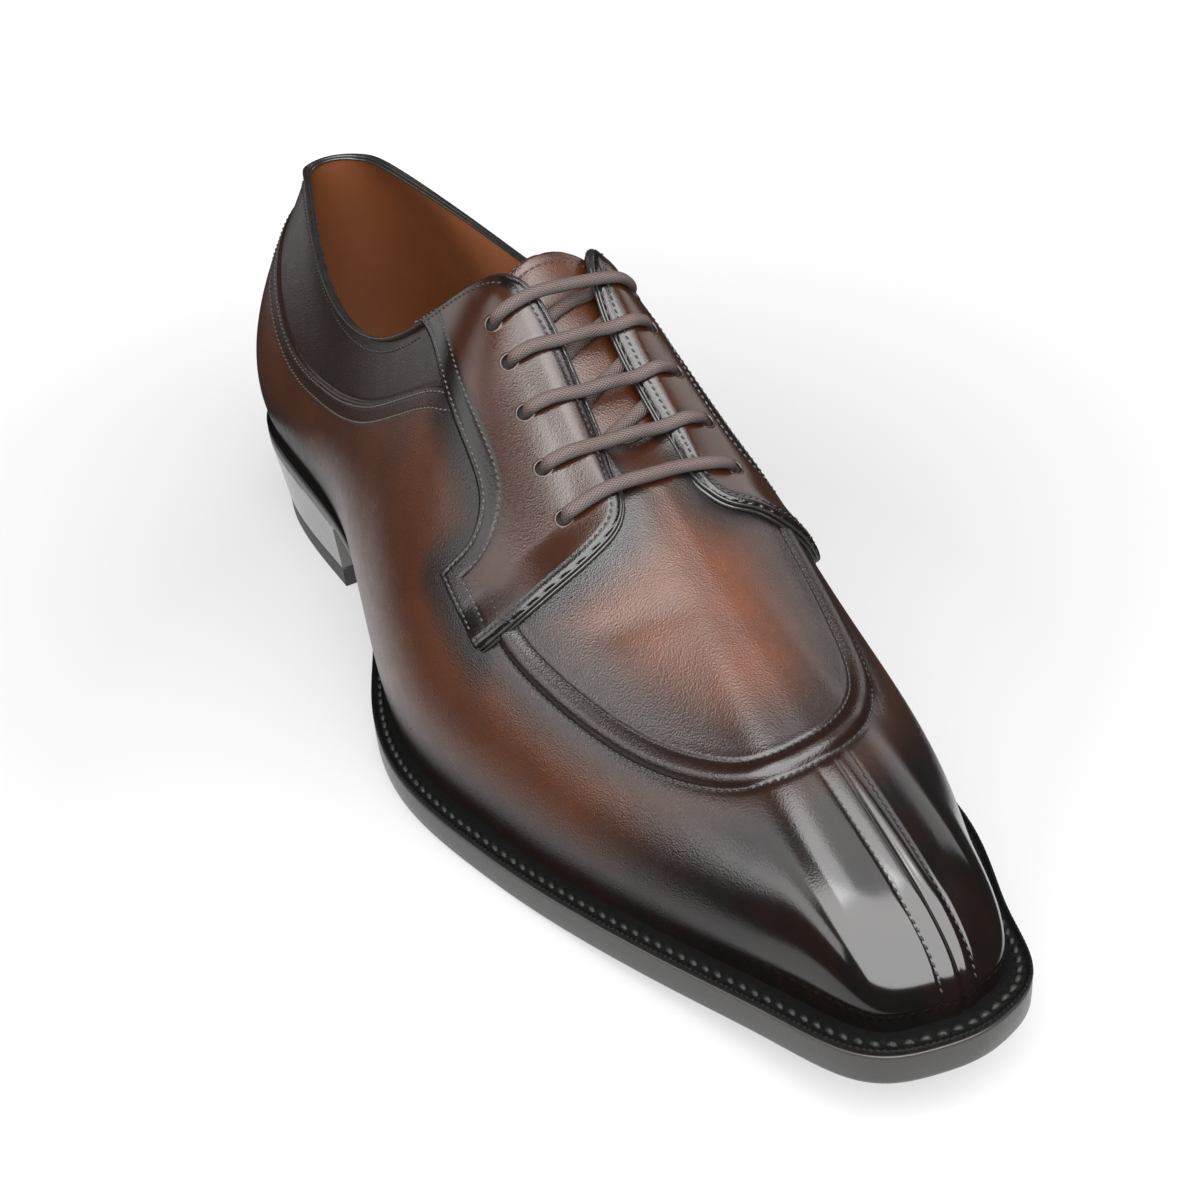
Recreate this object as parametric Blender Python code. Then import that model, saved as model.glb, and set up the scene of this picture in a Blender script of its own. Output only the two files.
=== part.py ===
"""Derby shoe for the right foot: top piece, heel, outsole, welt, insole, upper, tongue and lace.

The frame has +X to the toe, +Y to the wearer's left (the inner side of this foot) and +Z up.
Tables are in millimetres, measured from the back of the heel along X and from the heel's middle along Y.
"""
from collections import namedtuple

import bpy
import numpy as np

# Driving sizes, in millimetres
MM = 0.001              # millimetres to metres
BOX_MIDDLE_X = 153.8    # middle of the whole shoe, seen from above
BOX_MIDDLE_Y = -3.75
WALL = 2.0              # wall of the upper: outer leather and lining together
GAP = 0.3               # room between neighbouring pieces
THROAT_SHIFT = 6.0      # the throat lies this far to the inner side of the heel's middle
INSOLE_THICK = 2.4
INSOLE_ROOM = 0.5       # room between insole edge and the upper's inside
INSOLE_LIFT = 0.8       # room between the insole and the outsole under it
WELT_INSIDE = 9.0       # the welt reaches this far inside the feather line
EDGE_ROUND = 1.0        # rounding of the outsole's lower edge
HEEL_FRONT = 77.0       # the heel's breast
TOP_PIECE_HIGH = 6.0
HEEL_BACK_PITCH = 5.5   # the heel's foot is set in by this much behind
HEEL_SIDE_PITCH = 1.0   # and by this much at the breast corners
PITCH_TOP_PIECE = 0.9   # share of that pitch at the upper edge of the top piece
PITCH_STACK_LOW = 0.88  # at the lower edge of the stack
PITCH_STACK_MID = 0.55  # part way up the stack
STACK_MID_HIGH = 13.0
TONGUE_THICK = 1.8
LACE_RADIUS = 1.5
LACE_UNDER_RADIUS = 0.8
LACE_UNDER_DEPTH = 0.9
LACE_CROWN = 8.0        # rise of a bar over the open throat
THROAT_HALF = 8.0       # half of the open throat
EYELET_PAIRS = 5
EYELET_TOP_U = 0.2478   # top pair of lace holes on the upper's own grid
EYELET_LOW_U = 0.3252   # lowest pair
EYELET_TOP_T = 0.905
EYELET_LOW_T = 0.805
PASS_SLANT = 0.2        # a slanted pass starts and ends this share of a pair's step from its bars
THROAT_BACK_U = 0.19    # stretch of the loop that holds the facings
THROAT_FRONT_U = 0.42
FACING_LOW_T = 0.6      # lowest place on the facings that a bar may lie on
AROUND = 80             # points round the shoe
UP = 12                 # points from the feather line to the top line
HEEL_SIDE_POINTS = 16   # points along each side of the heel
TONGUE_POINTS = 13      # points across the tongue
BAR_POINTS = 9          # points along a lace bar
SEARCH_STEPS = 120      # steps of a search along the loop or up the wall
SHARP_ANGLE = 40.0      # edges sharper than this many degrees stay hard

# Stations round the shoe, heel to toe. lateral and medial give the feather line, where the upper meets
# the welt. top is the collar edge, then the throat edge, then the throat's front end. low and high are
# the two handles of the curve from feather line to top line. edge is the sole's reach past the feather.
Station = namedtuple(
    "Station",
    "name lateral_x lateral_y medial_x medial_y top_x top_half top_z "
    "low_out low_up high_out high_down edge_lateral edge_medial")
STATIONS = [
    Station("heel back", 2, 0, 2, 0, 9, 0, 94, 7, 24, 3, 16, 1.5, 1.5),
    Station("heel corner", 8.8, -18.2, 8.8, 17.8, 12.2, 8.2, 93.7, 7, 24.5, 6, 15.5, 1.5, 1.5),
    Station("heel side", 25, -28, 25, 27, 23, 12.5, 92.8, 7, 25, 9, 15, 1.5, 1.5),
    Station("breast", 74, -29.5, 74, 26.5, 64, 24.5, 81, 5, 26, 6.5, 18, 1.5, 1.2),
    Station("waist", 112, -36, 118, 20.5, 111, 25, 82.5, 5, 30, 13.5, 22, -1.2, -1.5),
    Station("arch", 140, -43.5, 150, 24.5, 143, 13, 104, 4.6, 32, 25.5, 26.5, 3.0, 1.5),
    Station("ball", 172, -47.5, 186, 38, 160, 6.4, 98, 5, 31, 31, 19, 5.6, 5.0),
    Station("joint", 204, -42.5, 215, 39.5, 178, 6.8, 82, 4, 28, 32.5, 16, 5.6, 5.6),
    Station("vamp", 244, -31.5, 252, 34.5, 189, 7, 75, 3.2, 25.5, 34.5, 21.5, 5.6, 5.6),
    Station("shoulder", 280, -20, 280, 22, 192.8, 5.2, 73.3, 3.2, 25, 48, 29.4, 5.6, 5.3),
    Station("corner", 297.5, -14, 297, 13.5, 194, 2.9, 72.7, 3, 23.5, 52, 30.5, 5.7, 5.2),
    Station("flat", 301, -6.8, 300.8, 6.5, 194.3, 1.3, 72.6, 2.7, 22.2, 52.5, 30.2, 5.8, 5.6),
    Station("front", 302, 0, 302, 0, 194.4, 0, 72.6, 2.6, 22, 52.5, 30, 5.8, 5.8),
]

# Side view of the bottom: heel seat, shank curve, flat tread and toe spring, with the layers' thickness.
Profile = namedtuple("Profile", "x feather_z outsole welt")
BOTTOM = [
    Profile(-10, 29.4, 3.2, 1.6),
    Profile(0, 29.2, 3.2, 1.6),
    Profile(30, 28.3, 3.2, 1.6),
    Profile(76, 24.3, 3.2, 1.6),
    Profile(112, 14.2, 3.8, 2.0),
    Profile(140, 9.6, 4.9, 2.8),
    Profile(162, 8.8, 5.2, 3.0),
    Profile(208, 8.8, 5.2, 3.0),
    Profile(250, 11.6, 5.2, 3.0),
    Profile(280, 15.2, 5.2, 3.0),
    Profile(302, 19.6, 5.2, 3.0),
    Profile(315, 22.6, 5.2, 3.0),
]

# Tongue, root to tip: height of its middle, then reach and drop of each side.
TongueRow = namedtuple("TongueRow", "x middle_z lateral_half lateral_drop medial_half medial_drop")
TONGUE = [
    TongueRow(206, 62.8, 20, 5.2, 15, 3.2),
    TongueRow(198, 66.7, 20, 5.0, 15, 2.8),
    TongueRow(190, 70.3, 20, 4.2, 15, 1.6),
    TongueRow(182, 75.2, 20, 4.1, 15, 1.2),
    TongueRow(174, 81.4, 20, 5.2, 15, 1.7),
    TongueRow(166, 88.3, 20, 6.9, 15, 2.9),
    TongueRow(158, 95.6, 19, 8.6, 14, 5.0),
    TongueRow(151, 101.4, 14, 6.4, 11, 4.6),
    TongueRow(146, 105.2, 8, 2.6, 7, 2.4),
]

COLOURS = {
    "upper": ((0.085, 0.032, 0.016), 0.28),
    "tongue": ((0.075, 0.036, 0.024), 0.35),
    "insole": ((0.33, 0.14, 0.055), 0.55),
    "welt": ((0.012, 0.011, 0.010), 0.55),
    "outsole": ((0.020, 0.019, 0.018), 0.40),
    "heel": ((0.016, 0.015, 0.015), 0.35),
    "heel_top_piece": ((0.014, 0.014, 0.014), 0.60),
    "lace": ((0.060, 0.038, 0.034), 0.55),
}


def loop_rows():
    """Rows of the closed loop: heel back, lateral side to the toe, medial side back to the heel."""
    rows = []
    for s in STATIONS:
        rows.append([s.lateral_x, s.lateral_y, s.top_x, THROAT_SHIFT - s.top_half, s.top_z,
                     s.low_out, s.low_up, s.high_out, s.high_down, s.edge_lateral])
    for s in STATIONS[-2:0:-1]:
        rows.append([s.medial_x, s.medial_y, s.top_x, THROAT_SHIFT + s.top_half, s.top_z,
                     s.low_out, s.low_up, s.high_out, s.high_down, s.edge_medial])
    return np.array(rows, float)


def station_knots():
    """Loop positions of the stations: 0 at the heel back, 0.5 at the toe, the same on both sides."""
    lateral = np.array([[s.lateral_x, s.lateral_y] for s in STATIONS], float)
    medial = np.array([[s.medial_x, s.medial_y] for s in STATIONS], float)
    chord = np.linalg.norm(np.diff(lateral, axis=0), axis=1)
    chord = (chord + np.linalg.norm(np.diff(medial, axis=0), axis=1)) / 2
    run = np.concatenate([[0], np.cumsum(np.sqrt(chord))])
    half = 0.5 * run / run[-1]
    return np.concatenate([half, 1 - half[-2::-1]])


def closed_spline(knots, rows):
    """A closed cubic curve through rows; gives a function of the loop position."""
    count = len(rows)
    step = np.diff(knots)
    left = np.zeros((count, count))
    right = np.zeros_like(rows)
    for i in range(count):
        before, after = step[i - 1], step[i]
        left[i, i - 1] += before
        left[i, i] += 2 * (before + after)
        left[i, (i + 1) % count] += after
        right[i] = 6 * ((rows[(i + 1) % count] - rows[i]) / after - (rows[i] - rows[i - 1]) / before)
    bend = np.linalg.solve(left, right)

    def at(u):
        u = np.asarray(u, float) % 1.0
        i = np.clip(np.searchsorted(knots, u, side="right") - 1, 0, count - 1)
        j = (i + 1) % count
        a = ((knots[i + 1] - u) / step[i])[..., None]
        b = 1 - a
        curve = (a**3 - a) * bend[i] + (b**3 - b) * bend[j]
        return a * rows[i] + b * rows[j] + curve * (step[i] ** 2)[..., None] / 6
    return at


LOOP = closed_spline(station_knots(), loop_rows())


def profile(x, column):
    """A column of the bottom's side view at x, with no overshoot, so the tread stays flat."""
    xs = np.array([p.x for p in BOTTOM], float)
    zs = np.array([getattr(p, column) for p in BOTTOM], float)
    step = np.diff(xs)
    slope = np.diff(zs) / step
    tangent = np.zeros_like(zs)
    tangent[0], tangent[-1] = slope[0], slope[-1]
    for i in range(1, len(xs) - 1):
        if slope[i - 1] * slope[i] > 0:
            tangent[i] = 2 * slope[i - 1] * slope[i] / (slope[i - 1] + slope[i])
    x = np.clip(x, xs[0], xs[-1])
    i = np.clip(np.searchsorted(xs, x, side="right") - 1, 0, len(xs) - 2)
    s = (x - xs[i]) / step[i]
    ends = (1 + 2 * s) * (1 - s)**2 * zs[i] + s * s * (3 - 2 * s) * zs[i + 1]
    return ends + step[i] * (s * (1 - s)**2 * tangent[i] + s * s * (s - 1) * tangent[i + 1])


def outward(u):
    """Outward direction of the feather line, seen from above."""
    nudge = 1e-4
    along = LOOP(u + nudge)[..., :2] - LOOP(u - nudge)[..., :2]
    along /= np.linalg.norm(along, axis=-1)[..., None]
    return np.stack([along[..., 1], -along[..., 0]], axis=-1)


def skin(u, t):
    """The upper's outer face: loop position u, and t from the feather line (0) to the top line (1)."""
    row = LOOP(u)
    t = np.asarray(t, float)[..., None]
    foot = np.concatenate([row[..., :2], profile(row[..., 0], "feather_z")[..., None]], axis=-1)
    top = row[..., 2:5]
    lean = foot[..., :2] - top[..., :2]
    lean = lean / np.linalg.norm(lean, axis=-1)[..., None]
    low = foot + np.concatenate([outward(u) * row[..., 5:6], row[..., 6:7]], axis=-1)
    high = top + np.concatenate([lean * row[..., 7:8], -row[..., 8:9]], axis=-1)
    s = 1 - t
    return s**3 * foot + 3 * s * s * t * low + 3 * s * t * t * high + t**3 * top


def inside(u, t, depth):
    """A point at a depth below the upper's outer face; a negative depth is above it."""
    nudge = 1e-3
    t = np.asarray(t, float)
    around = skin(u + nudge, t) - skin(u - nudge, t)
    rise = skin(u, np.minimum(t + nudge, 1)) - skin(u, np.maximum(t - nudge, 0))
    normal = np.cross(around, rise)
    normal /= np.linalg.norm(normal, axis=-1)[..., None]
    return skin(u, t) - depth * normal


def outline(u, reach):
    """The feather line moved outward by reach, seen from above."""
    return LOOP(u)[..., :2] + outward(u) * np.broadcast_to(reach, np.shape(u))[..., None]


def sole_edge(u):
    return LOOP(u)[..., 9]


def outsole_bottom(x):
    return profile(x, "feather_z") - profile(x, "outsole") - profile(x, "welt") - 2 * GAP


def raise_to(flat, heights):
    return np.concatenate([flat, heights[..., None]], axis=-1)


def material(name, colour, roughness):
    made = bpy.data.materials.new(name)
    made.use_nodes = True
    shader = made.node_tree.nodes["Principled BSDF"]
    shader.inputs["Base Color"].default_value = (*colour, 1.0)
    shader.inputs["Roughness"].default_value = roughness
    shader.inputs["Metallic"].default_value = 0.0
    return made


def add_mesh(name, points, faces, look):
    """A new object from points in table millimetres, set about the middle of the whole shoe."""
    place = (np.asarray(points, float) - [BOX_MIDDLE_X, BOX_MIDDLE_Y, 0]) * MM
    mesh = bpy.data.meshes.new(name)
    mesh.from_pydata([tuple(p) for p in place], [], faces)
    mesh.materials.append(material(name, *COLOURS[look]))
    mesh.shade_smooth()
    mesh.set_sharp_from_angle(angle=np.radians(SHARP_ANGLE))
    mesh.validate()
    made = bpy.data.objects.new(name, mesh)
    bpy.context.collection.objects.link(made)
    return made


def ring_solid(name, loops, look):
    """Closed loops joined in turn, the last to the first, as a hollow ring."""
    count = len(loops[0])
    faces = []
    for k in range(len(loops)):
        here, there = k * count, (k + 1) % len(loops) * count
        for i in range(count):
            j = (i + 1) % count
            faces.append((here + i, here + j, there + j, there + i))
    return add_mesh(name, np.concatenate(loops), faces, look)


def cap(first, count, upward):
    """Faces across a loop whose point i lies opposite point count - i."""
    faces = []
    for i in range((count + 1) // 2):
        corners = [first + i, first + i + 1, first + (count - i - 1) % count, first + (count - i) % count]
        corners = list(dict.fromkeys(corners))
        if len(corners) > 2:
            faces.append(tuple(corners if upward else corners[::-1]))
    return faces


def stack_solid(name, loops, look):
    """Closed loops joined from the lowest to the highest, capped at both ends."""
    count = len(loops[0])
    faces = cap(0, count, upward=False)
    for k in range(len(loops) - 1):
        here, there = k * count, (k + 1) * count
        for i in range(count):
            j = (i + 1) % count
            faces.append((here + i, here + j, there + j, there + i))
    faces += cap((len(loops) - 1) * count, count, upward=True)
    return add_mesh(name, np.concatenate(loops), faces, look)


def leaf_solid(name, upper_face, lower_face, look):
    """A thin leaf between two grids of the same size."""
    rows, columns = upper_face.shape[:2]
    size = rows * columns
    faces = []
    for r in range(rows - 1):
        for c in range(columns - 1):
            a, b = r * columns + c, r * columns + c + 1
            d, e = a + columns, b + columns
            faces.append((a, b, e, d))
            faces.append((size + a, size + d, size + e, size + b))
    rim = [c for c in range(columns)]
    rim += [r * columns + columns - 1 for r in range(1, rows)]
    rim += [(rows - 1) * columns + c for c in range(columns - 2, -1, -1)]
    rim += [r * columns for r in range(rows - 2, 0, -1)]
    for k, a in enumerate(rim):
        b = rim[(k + 1) % len(rim)]
        faces.append((b, a, size + a, size + b))
    points = np.concatenate([upper_face.reshape(-1, 3), lower_face.reshape(-1, 3)])
    return add_mesh(name, points, faces, look)


def round_positions():
    return np.arange(AROUND) / AROUND


def make_upper():
    u = round_positions()
    heights = np.linspace(0, 1, UP)
    outer = [skin(u, np.full(AROUND, t)) for t in heights]
    inner = [inside(u, np.full(AROUND, t), WALL) for t in heights[::-1]]
    inner[-1][:, 2] = outer[0][:, 2]
    ring_solid("upper", outer + inner, "upper")


def make_welt():
    u = round_positions()
    edge = outline(u, sole_edge(u))
    inner = outline(u, -WELT_INSIDE)

    def top(flat):
        return raise_to(flat, profile(flat[:, 0], "feather_z") - GAP)

    def bottom(flat):
        height = profile(flat[:, 0], "feather_z") - GAP - profile(flat[:, 0], "welt")
        return raise_to(flat, height)
    ring_solid("welt", [bottom(edge), top(edge), top(inner), bottom(inner)], "welt")


def make_outsole():
    u = round_positions()
    edge = outline(u, sole_edge(u))
    tread = outline(u, sole_edge(u) - EDGE_ROUND)

    def low(flat):
        return outsole_bottom(flat[:, 0])
    loops = [
        raise_to(tread, low(tread)),
        raise_to(edge, low(edge) + EDGE_ROUND),
        raise_to(edge, low(edge) + profile(edge[:, 0], "outsole")),
    ]
    stack_solid("outsole", loops, "outsole")


def make_insole():
    u = round_positions()
    rim = outline(u, -WALL - INSOLE_ROOM)
    core = outline(u, -WELT_INSIDE - GAP)

    def low(flat):
        return outsole_bottom(flat[:, 0]) + profile(flat[:, 0], "outsole") + INSOLE_LIFT

    def step(flat):
        return profile(flat[:, 0], "feather_z")
    loops = [
        raise_to(core, low(core)),
        raise_to(core, step(core)),
        raise_to(rim, step(rim)),
        raise_to(rim, step(rim) + INSOLE_THICK),
    ]
    stack_solid("insole", loops, "insole")


def breast_position(side_sign):
    """Loop position where the sole's edge passes the heel's breast, on one side."""
    u = np.linspace(0, THROAT_BACK_U, 10 * SEARCH_STEPS)
    u = u if side_sign < 0 else 1 - u
    x = outline(u, sole_edge(u))[:, 0]
    return u[np.argmin(np.abs(x - HEEL_FRONT))]


def heel_loop(pitch_share, height):
    """One loop of the heel: the sole's edge, set in by a share of the pitch, closed by a straight breast."""
    lateral = np.linspace(0, breast_position(-1), HEEL_SIDE_POINTS)
    medial = np.linspace(breast_position(1), 1, HEEL_SIDE_POINTS)[:-1]
    u = np.concatenate([lateral, medial])
    forward = np.clip(outline(u, 0)[:, 0] / HEEL_FRONT, 0, 1)
    pitch = HEEL_SIDE_PITCH + (HEEL_BACK_PITCH - HEEL_SIDE_PITCH) * (1 - forward)**2
    flat = outline(u, sole_edge(u) - pitch_share * pitch)
    flat[HEEL_SIDE_POINTS - 1, 0] = HEEL_FRONT
    flat[HEEL_SIDE_POINTS, 0] = HEEL_FRONT
    return raise_to(flat, np.full(len(u), height) if np.isscalar(height) else height(flat[:, 0]))


def make_heel():
    def seat(x):
        return outsole_bottom(x) - GAP
    top_piece = [
        heel_loop(1.0, 0.0),
        heel_loop(PITCH_TOP_PIECE, TOP_PIECE_HIGH),
    ]
    stack_solid("heel_top_piece", top_piece, "heel_top_piece")
    stack = [
        heel_loop(PITCH_STACK_LOW, TOP_PIECE_HIGH + GAP),
        heel_loop(PITCH_STACK_MID, STACK_MID_HIGH),
        heel_loop(0.0, seat),
    ]
    stack_solid("heel", stack, "heel")


def tongue_across(row, lowered):
    """Points across one row of the tongue, lateral edge first."""
    share = np.linspace(-1, 1, TONGUE_POINTS)
    half = np.where(share < 0, row.lateral_half, row.medial_half)
    drop = np.where(share < 0, row.lateral_drop, row.medial_drop)
    y = THROAT_SHIFT + share * half
    z = row.middle_z - drop * share**2 - lowered
    return np.stack([np.full(len(share), row.x), y, z], axis=-1)


def make_tongue():
    upper_face = np.array([tongue_across(row, 0.0) for row in TONGUE])
    lower_face = np.array([tongue_across(row, TONGUE_THICK) for row in TONGUE])
    leaf_solid("tongue", upper_face, lower_face, "tongue")


def eyelet(pair, side_sign):
    """Loop position and height of a lace hole; pair 0 is the top one."""
    share = pair / (EYELET_PAIRS - 1)
    u = EYELET_TOP_U + (EYELET_LOW_U - EYELET_TOP_U) * share
    t = EYELET_TOP_T + (EYELET_LOW_T - EYELET_TOP_T) * share
    return (u if side_sign < 0 else 1 - u), t


def add_cord(name, points, radius):
    """A round cord through points in table millimetres."""
    place = (np.asarray(points, float) - [BOX_MIDDLE_X, BOX_MIDDLE_Y, 0]) * MM
    curve = bpy.data.curves.new(name, "CURVE")
    curve.dimensions = "3D"
    spline = curve.splines.new("POLY")
    spline.points.add(len(place) - 1)
    for spot, p in zip(spline.points, place):
        spot.co = (*p, 1.0)
    curve.bevel_depth = radius * MM
    curve.bevel_resolution = 2
    curve.use_fill_caps = True
    curve.materials.append(material(name, *COLOURS["lace"]))
    made = bpy.data.objects.new(name, curve)
    bpy.context.collection.objects.link(made)


def over_plan(x, y, depth):
    """The point of the upper near the throat that lies over plan place x, y, at a depth below its face."""
    lateral = y < THROAT_SHIFT
    u = np.linspace(THROAT_BACK_U, THROAT_FRONT_U, SEARCH_STEPS)
    u = u if lateral else 1 - u
    grid_u, grid_t = np.meshgrid(u, np.linspace(FACING_LOW_T, 1, SEARCH_STEPS), indexing="ij")
    points = inside(grid_u, grid_t, depth)
    miss = np.hypot(points[..., 0] - x, points[..., 1] - y)
    return points[np.unravel_index(np.argmin(miss), miss.shape)]


def make_lace_bar(pair):
    """A straight bar over the throat, from lace hole to lace hole, lying on both facings."""
    height = -(GAP + LACE_RADIUS)
    ends = []
    for sign in (-1, 1):
        u, t = eyelet(pair, sign)
        ends.append(inside(np.array([u]), np.array([t]), height)[0])
    points = []
    for share in np.linspace(0, 1, BAR_POINTS):
        x, y, _ = ends[0] + share * (ends[1] - ends[0])
        on_facing = abs(y - THROAT_SHIFT) > THROAT_HALF
        points.append(over_plan(x, y, height) if on_facing else None)
    open_span = [k for k, point in enumerate(points) if point is None]
    before, after = points[open_span[0] - 1], points[open_span[-1] + 1]
    for k in open_span:
        share = (k - open_span[0] + 1) / (len(open_span) + 1)
        points[k] = before + share * (after - before) + [0, 0, LACE_CROWN * share * (1 - share)]
    add_cord(f"lace_bar_{pair + 1}", points, LACE_RADIUS)


def make_lace_pass(pair):
    """The slanted stretch below two bars, where it shows between the facings."""
    u_low, _ = eyelet(pair + 1 - PASS_SLANT, -1)
    u_high, _ = eyelet(pair + PASS_SLANT, 1)
    ends = []
    for u, sign in ((u_low, -1), (u_high, 1)):
        edge = inside(np.array([u]), np.array([1.0]), LACE_UNDER_DEPTH)[0]
        ends.append(edge - [0, sign * (LACE_UNDER_RADIUS + 2 * GAP), 0])
    add_cord(f"lace_pass_{pair + 1}", ends, LACE_UNDER_RADIUS)


def make_lace():
    for pair in range(EYELET_PAIRS):
        make_lace_bar(pair)
    for pair in range(EYELET_PAIRS - 1):
        make_lace_pass(pair)


def main():
    for old in list(bpy.data.objects):
        bpy.data.objects.remove(old, do_unlink=True)
    make_heel()
    make_outsole()
    make_welt()
    make_insole()
    make_upper()
    make_tongue()
    make_lace()


main()
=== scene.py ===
"""Looks of a derby shoe for the right foot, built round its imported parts."""

from collections import namedtuple

import bpy
import numpy as np
from mathutils import Matrix


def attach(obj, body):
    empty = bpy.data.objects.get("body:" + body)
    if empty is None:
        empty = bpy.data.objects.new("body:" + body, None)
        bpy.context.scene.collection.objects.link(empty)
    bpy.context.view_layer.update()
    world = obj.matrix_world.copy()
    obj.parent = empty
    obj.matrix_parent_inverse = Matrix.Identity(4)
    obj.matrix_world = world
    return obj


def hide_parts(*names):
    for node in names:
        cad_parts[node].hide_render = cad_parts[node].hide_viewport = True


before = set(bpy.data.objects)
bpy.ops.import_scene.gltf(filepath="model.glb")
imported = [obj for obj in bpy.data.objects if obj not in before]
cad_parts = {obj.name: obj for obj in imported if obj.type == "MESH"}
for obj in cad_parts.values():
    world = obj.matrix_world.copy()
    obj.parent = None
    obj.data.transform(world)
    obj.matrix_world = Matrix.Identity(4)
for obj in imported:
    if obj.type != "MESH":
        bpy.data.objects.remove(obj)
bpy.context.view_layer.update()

# Sizes in millimetres, in the tables' own frame: X from the back of the heel, Y from the heel's middle
MM = 0.001
BOX_MIDDLE_X = 153.8
BOX_MIDDLE_Y = -3.75
WALL = 2.0              # thickness of the upper
GAP = 0.3               # clearance between neighbouring solids
THROAT_SHIFT = 6.0      # how far the throat's middle lies to the medial side
INSOLE_THICK = 2.4
SPACING = 0.5           # from point to point along a traced line

# Stations round the shoe, heel to toe, as on the solid parts
Station = namedtuple(
    "Station",
    "name lateral_x lateral_y medial_x medial_y top_x top_half top_z "
    "low_out low_up high_out high_down edge_lateral edge_medial")
STATIONS = [
    Station("heel back", 2, 0, 2, 0, 9, 0, 94, 7, 24, 3, 16, 1.5, 1.5),
    Station("heel corner", 8.8, -18.2, 8.8, 17.8, 12.2, 8.2, 93.7, 7, 24.5, 6, 15.5, 1.5, 1.5),
    Station("heel side", 25, -28, 25, 27, 23, 12.5, 92.8, 7, 25, 9, 15, 1.5, 1.5),
    Station("breast", 74, -29.5, 74, 26.5, 64, 24.5, 81, 5, 26, 6.5, 18, 1.5, 1.2),
    Station("waist", 112, -36, 118, 20.5, 111, 25, 82.5, 5, 30, 13.5, 22, -1.2, -1.5),
    Station("arch", 140, -43.5, 150, 24.5, 143, 13, 104, 4.6, 32, 25.5, 26.5, 3.0, 1.5),
    Station("ball", 172, -47.5, 186, 38, 160, 6.4, 98, 5, 31, 31, 19, 5.6, 5.0),
    Station("joint", 204, -42.5, 215, 39.5, 178, 6.8, 82, 4, 28, 32.5, 16, 5.6, 5.6),
    Station("vamp", 244, -31.5, 252, 34.5, 189, 7, 75, 3.2, 25.5, 34.5, 21.5, 5.6, 5.6),
    Station("shoulder", 280, -20, 280, 22, 192.8, 5.2, 73.3, 3.2, 25, 48, 29.4, 5.6, 5.3),
    Station("corner", 297.5, -14, 297, 13.5, 194, 2.9, 72.7, 3, 23.5, 52, 30.5, 5.7, 5.2),
    Station("flat", 301, -6.8, 300.8, 6.5, 194.3, 1.3, 72.6, 2.7, 22.2, 52.5, 30.2, 5.8, 5.6),
    Station("front", 302, 0, 302, 0, 194.4, 0, 72.6, 2.6, 22, 52.5, 30, 5.8, 5.8),
]
Profile = namedtuple("Profile", "x feather_z outsole welt")
BOTTOM = [
    Profile(-10, 29.4, 3.2, 1.6),
    Profile(0, 29.2, 3.2, 1.6),
    Profile(30, 28.3, 3.2, 1.6),
    Profile(76, 24.3, 3.2, 1.6),
    Profile(112, 14.2, 3.8, 2.0),
    Profile(140, 9.6, 4.9, 2.8),
    Profile(162, 8.8, 5.2, 3.0),
    Profile(208, 8.8, 5.2, 3.0),
    Profile(250, 11.6, 5.2, 3.0),
    Profile(280, 15.2, 5.2, 3.0),
    Profile(302, 19.6, 5.2, 3.0),
    Profile(315, 22.6, 5.2, 3.0),
]
TongueRow = namedtuple("TongueRow", "x middle_z lateral_half lateral_drop medial_half medial_drop")
TONGUE = [
    TongueRow(206, 62.8, 20, 5.2, 15, 3.2),
    TongueRow(198, 66.7, 20, 5.0, 15, 2.8),
    TongueRow(190, 70.3, 20, 4.2, 15, 1.6),
    TongueRow(182, 75.2, 20, 4.1, 15, 1.2),
    TongueRow(174, 81.4, 20, 5.2, 15, 1.7),
    TongueRow(166, 88.3, 20, 6.9, 15, 2.9),
    TongueRow(158, 95.6, 19, 8.6, 14, 5.0),
    TongueRow(151, 101.4, 14, 6.4, 11, 4.6),
    TongueRow(146, 105.2, 8, 2.6, 7, 2.4),
]

# Lines on the upper, as loop position u and height t from the feather line to the top line.
# The ledge is the rear edge of the side wall, under the collar band. The plug line is the plug's stitch row.
LEDGE = [(0, 0.86), (0.04, 0.80), (0.0714, 0.66), (0.0927, 0.558), (0.1051, 0.518), (0.1193, 0.526),
         (0.1414, 0.629), (0.1672, 0.755), (0.1916, 0.775), (0.2186, 0.755), (0.2410, 0.762), (0.2500, 0.772),
         (0.2580, 0.780)]
PLUG_LATERAL = [(0.27, 0.68), (0.30, 0.585), (0.3243, 0.537), (0.3395, 0.518), (0.3571, 0.503),
                (0.3754, 0.497), (0.395, 0.513), (0.419, 0.551), (0.4497, 0.592), (0.4858, 0.612)]
PLUG_MEDIAL = [(0.5211, 0.621), (0.5529, 0.626), (0.5831, 0.615), (0.5952, 0.618), (0.6099, 0.634),
               (0.6294, 0.652), (0.6475, 0.670), (0.68, 0.70), (0.72, 0.72)]
FACING_BACK = [(0.197, 1.0), (0.2145, 0.885), (0.2403, 0.770), (0.2633, 0.720), (0.2798, 0.696),
               (0.2887, 0.671), (0.2915, 0.642), (0.2912, 0.589), (0.2861, 0.527), (0.2835, 0.493)]
FACING_FOOT = [(0.2835, 0.493), (0.2968, 0.466), (0.3101, 0.441)]
FRONT_LATERAL = [(0.242, 1.0), (0.2648, 1.0), (0.287, 1.0), (0.3069, 1.0), (0.3357, 0.995), (0.361, 0.967),
                 (0.370, 0.939), (0.3643, 0.883), (0.3537, 0.825), (0.343, 0.755), (0.3349, 0.690),
                 (0.3259, 0.603), (0.3173, 0.513), (0.3101, 0.441)]
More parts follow.
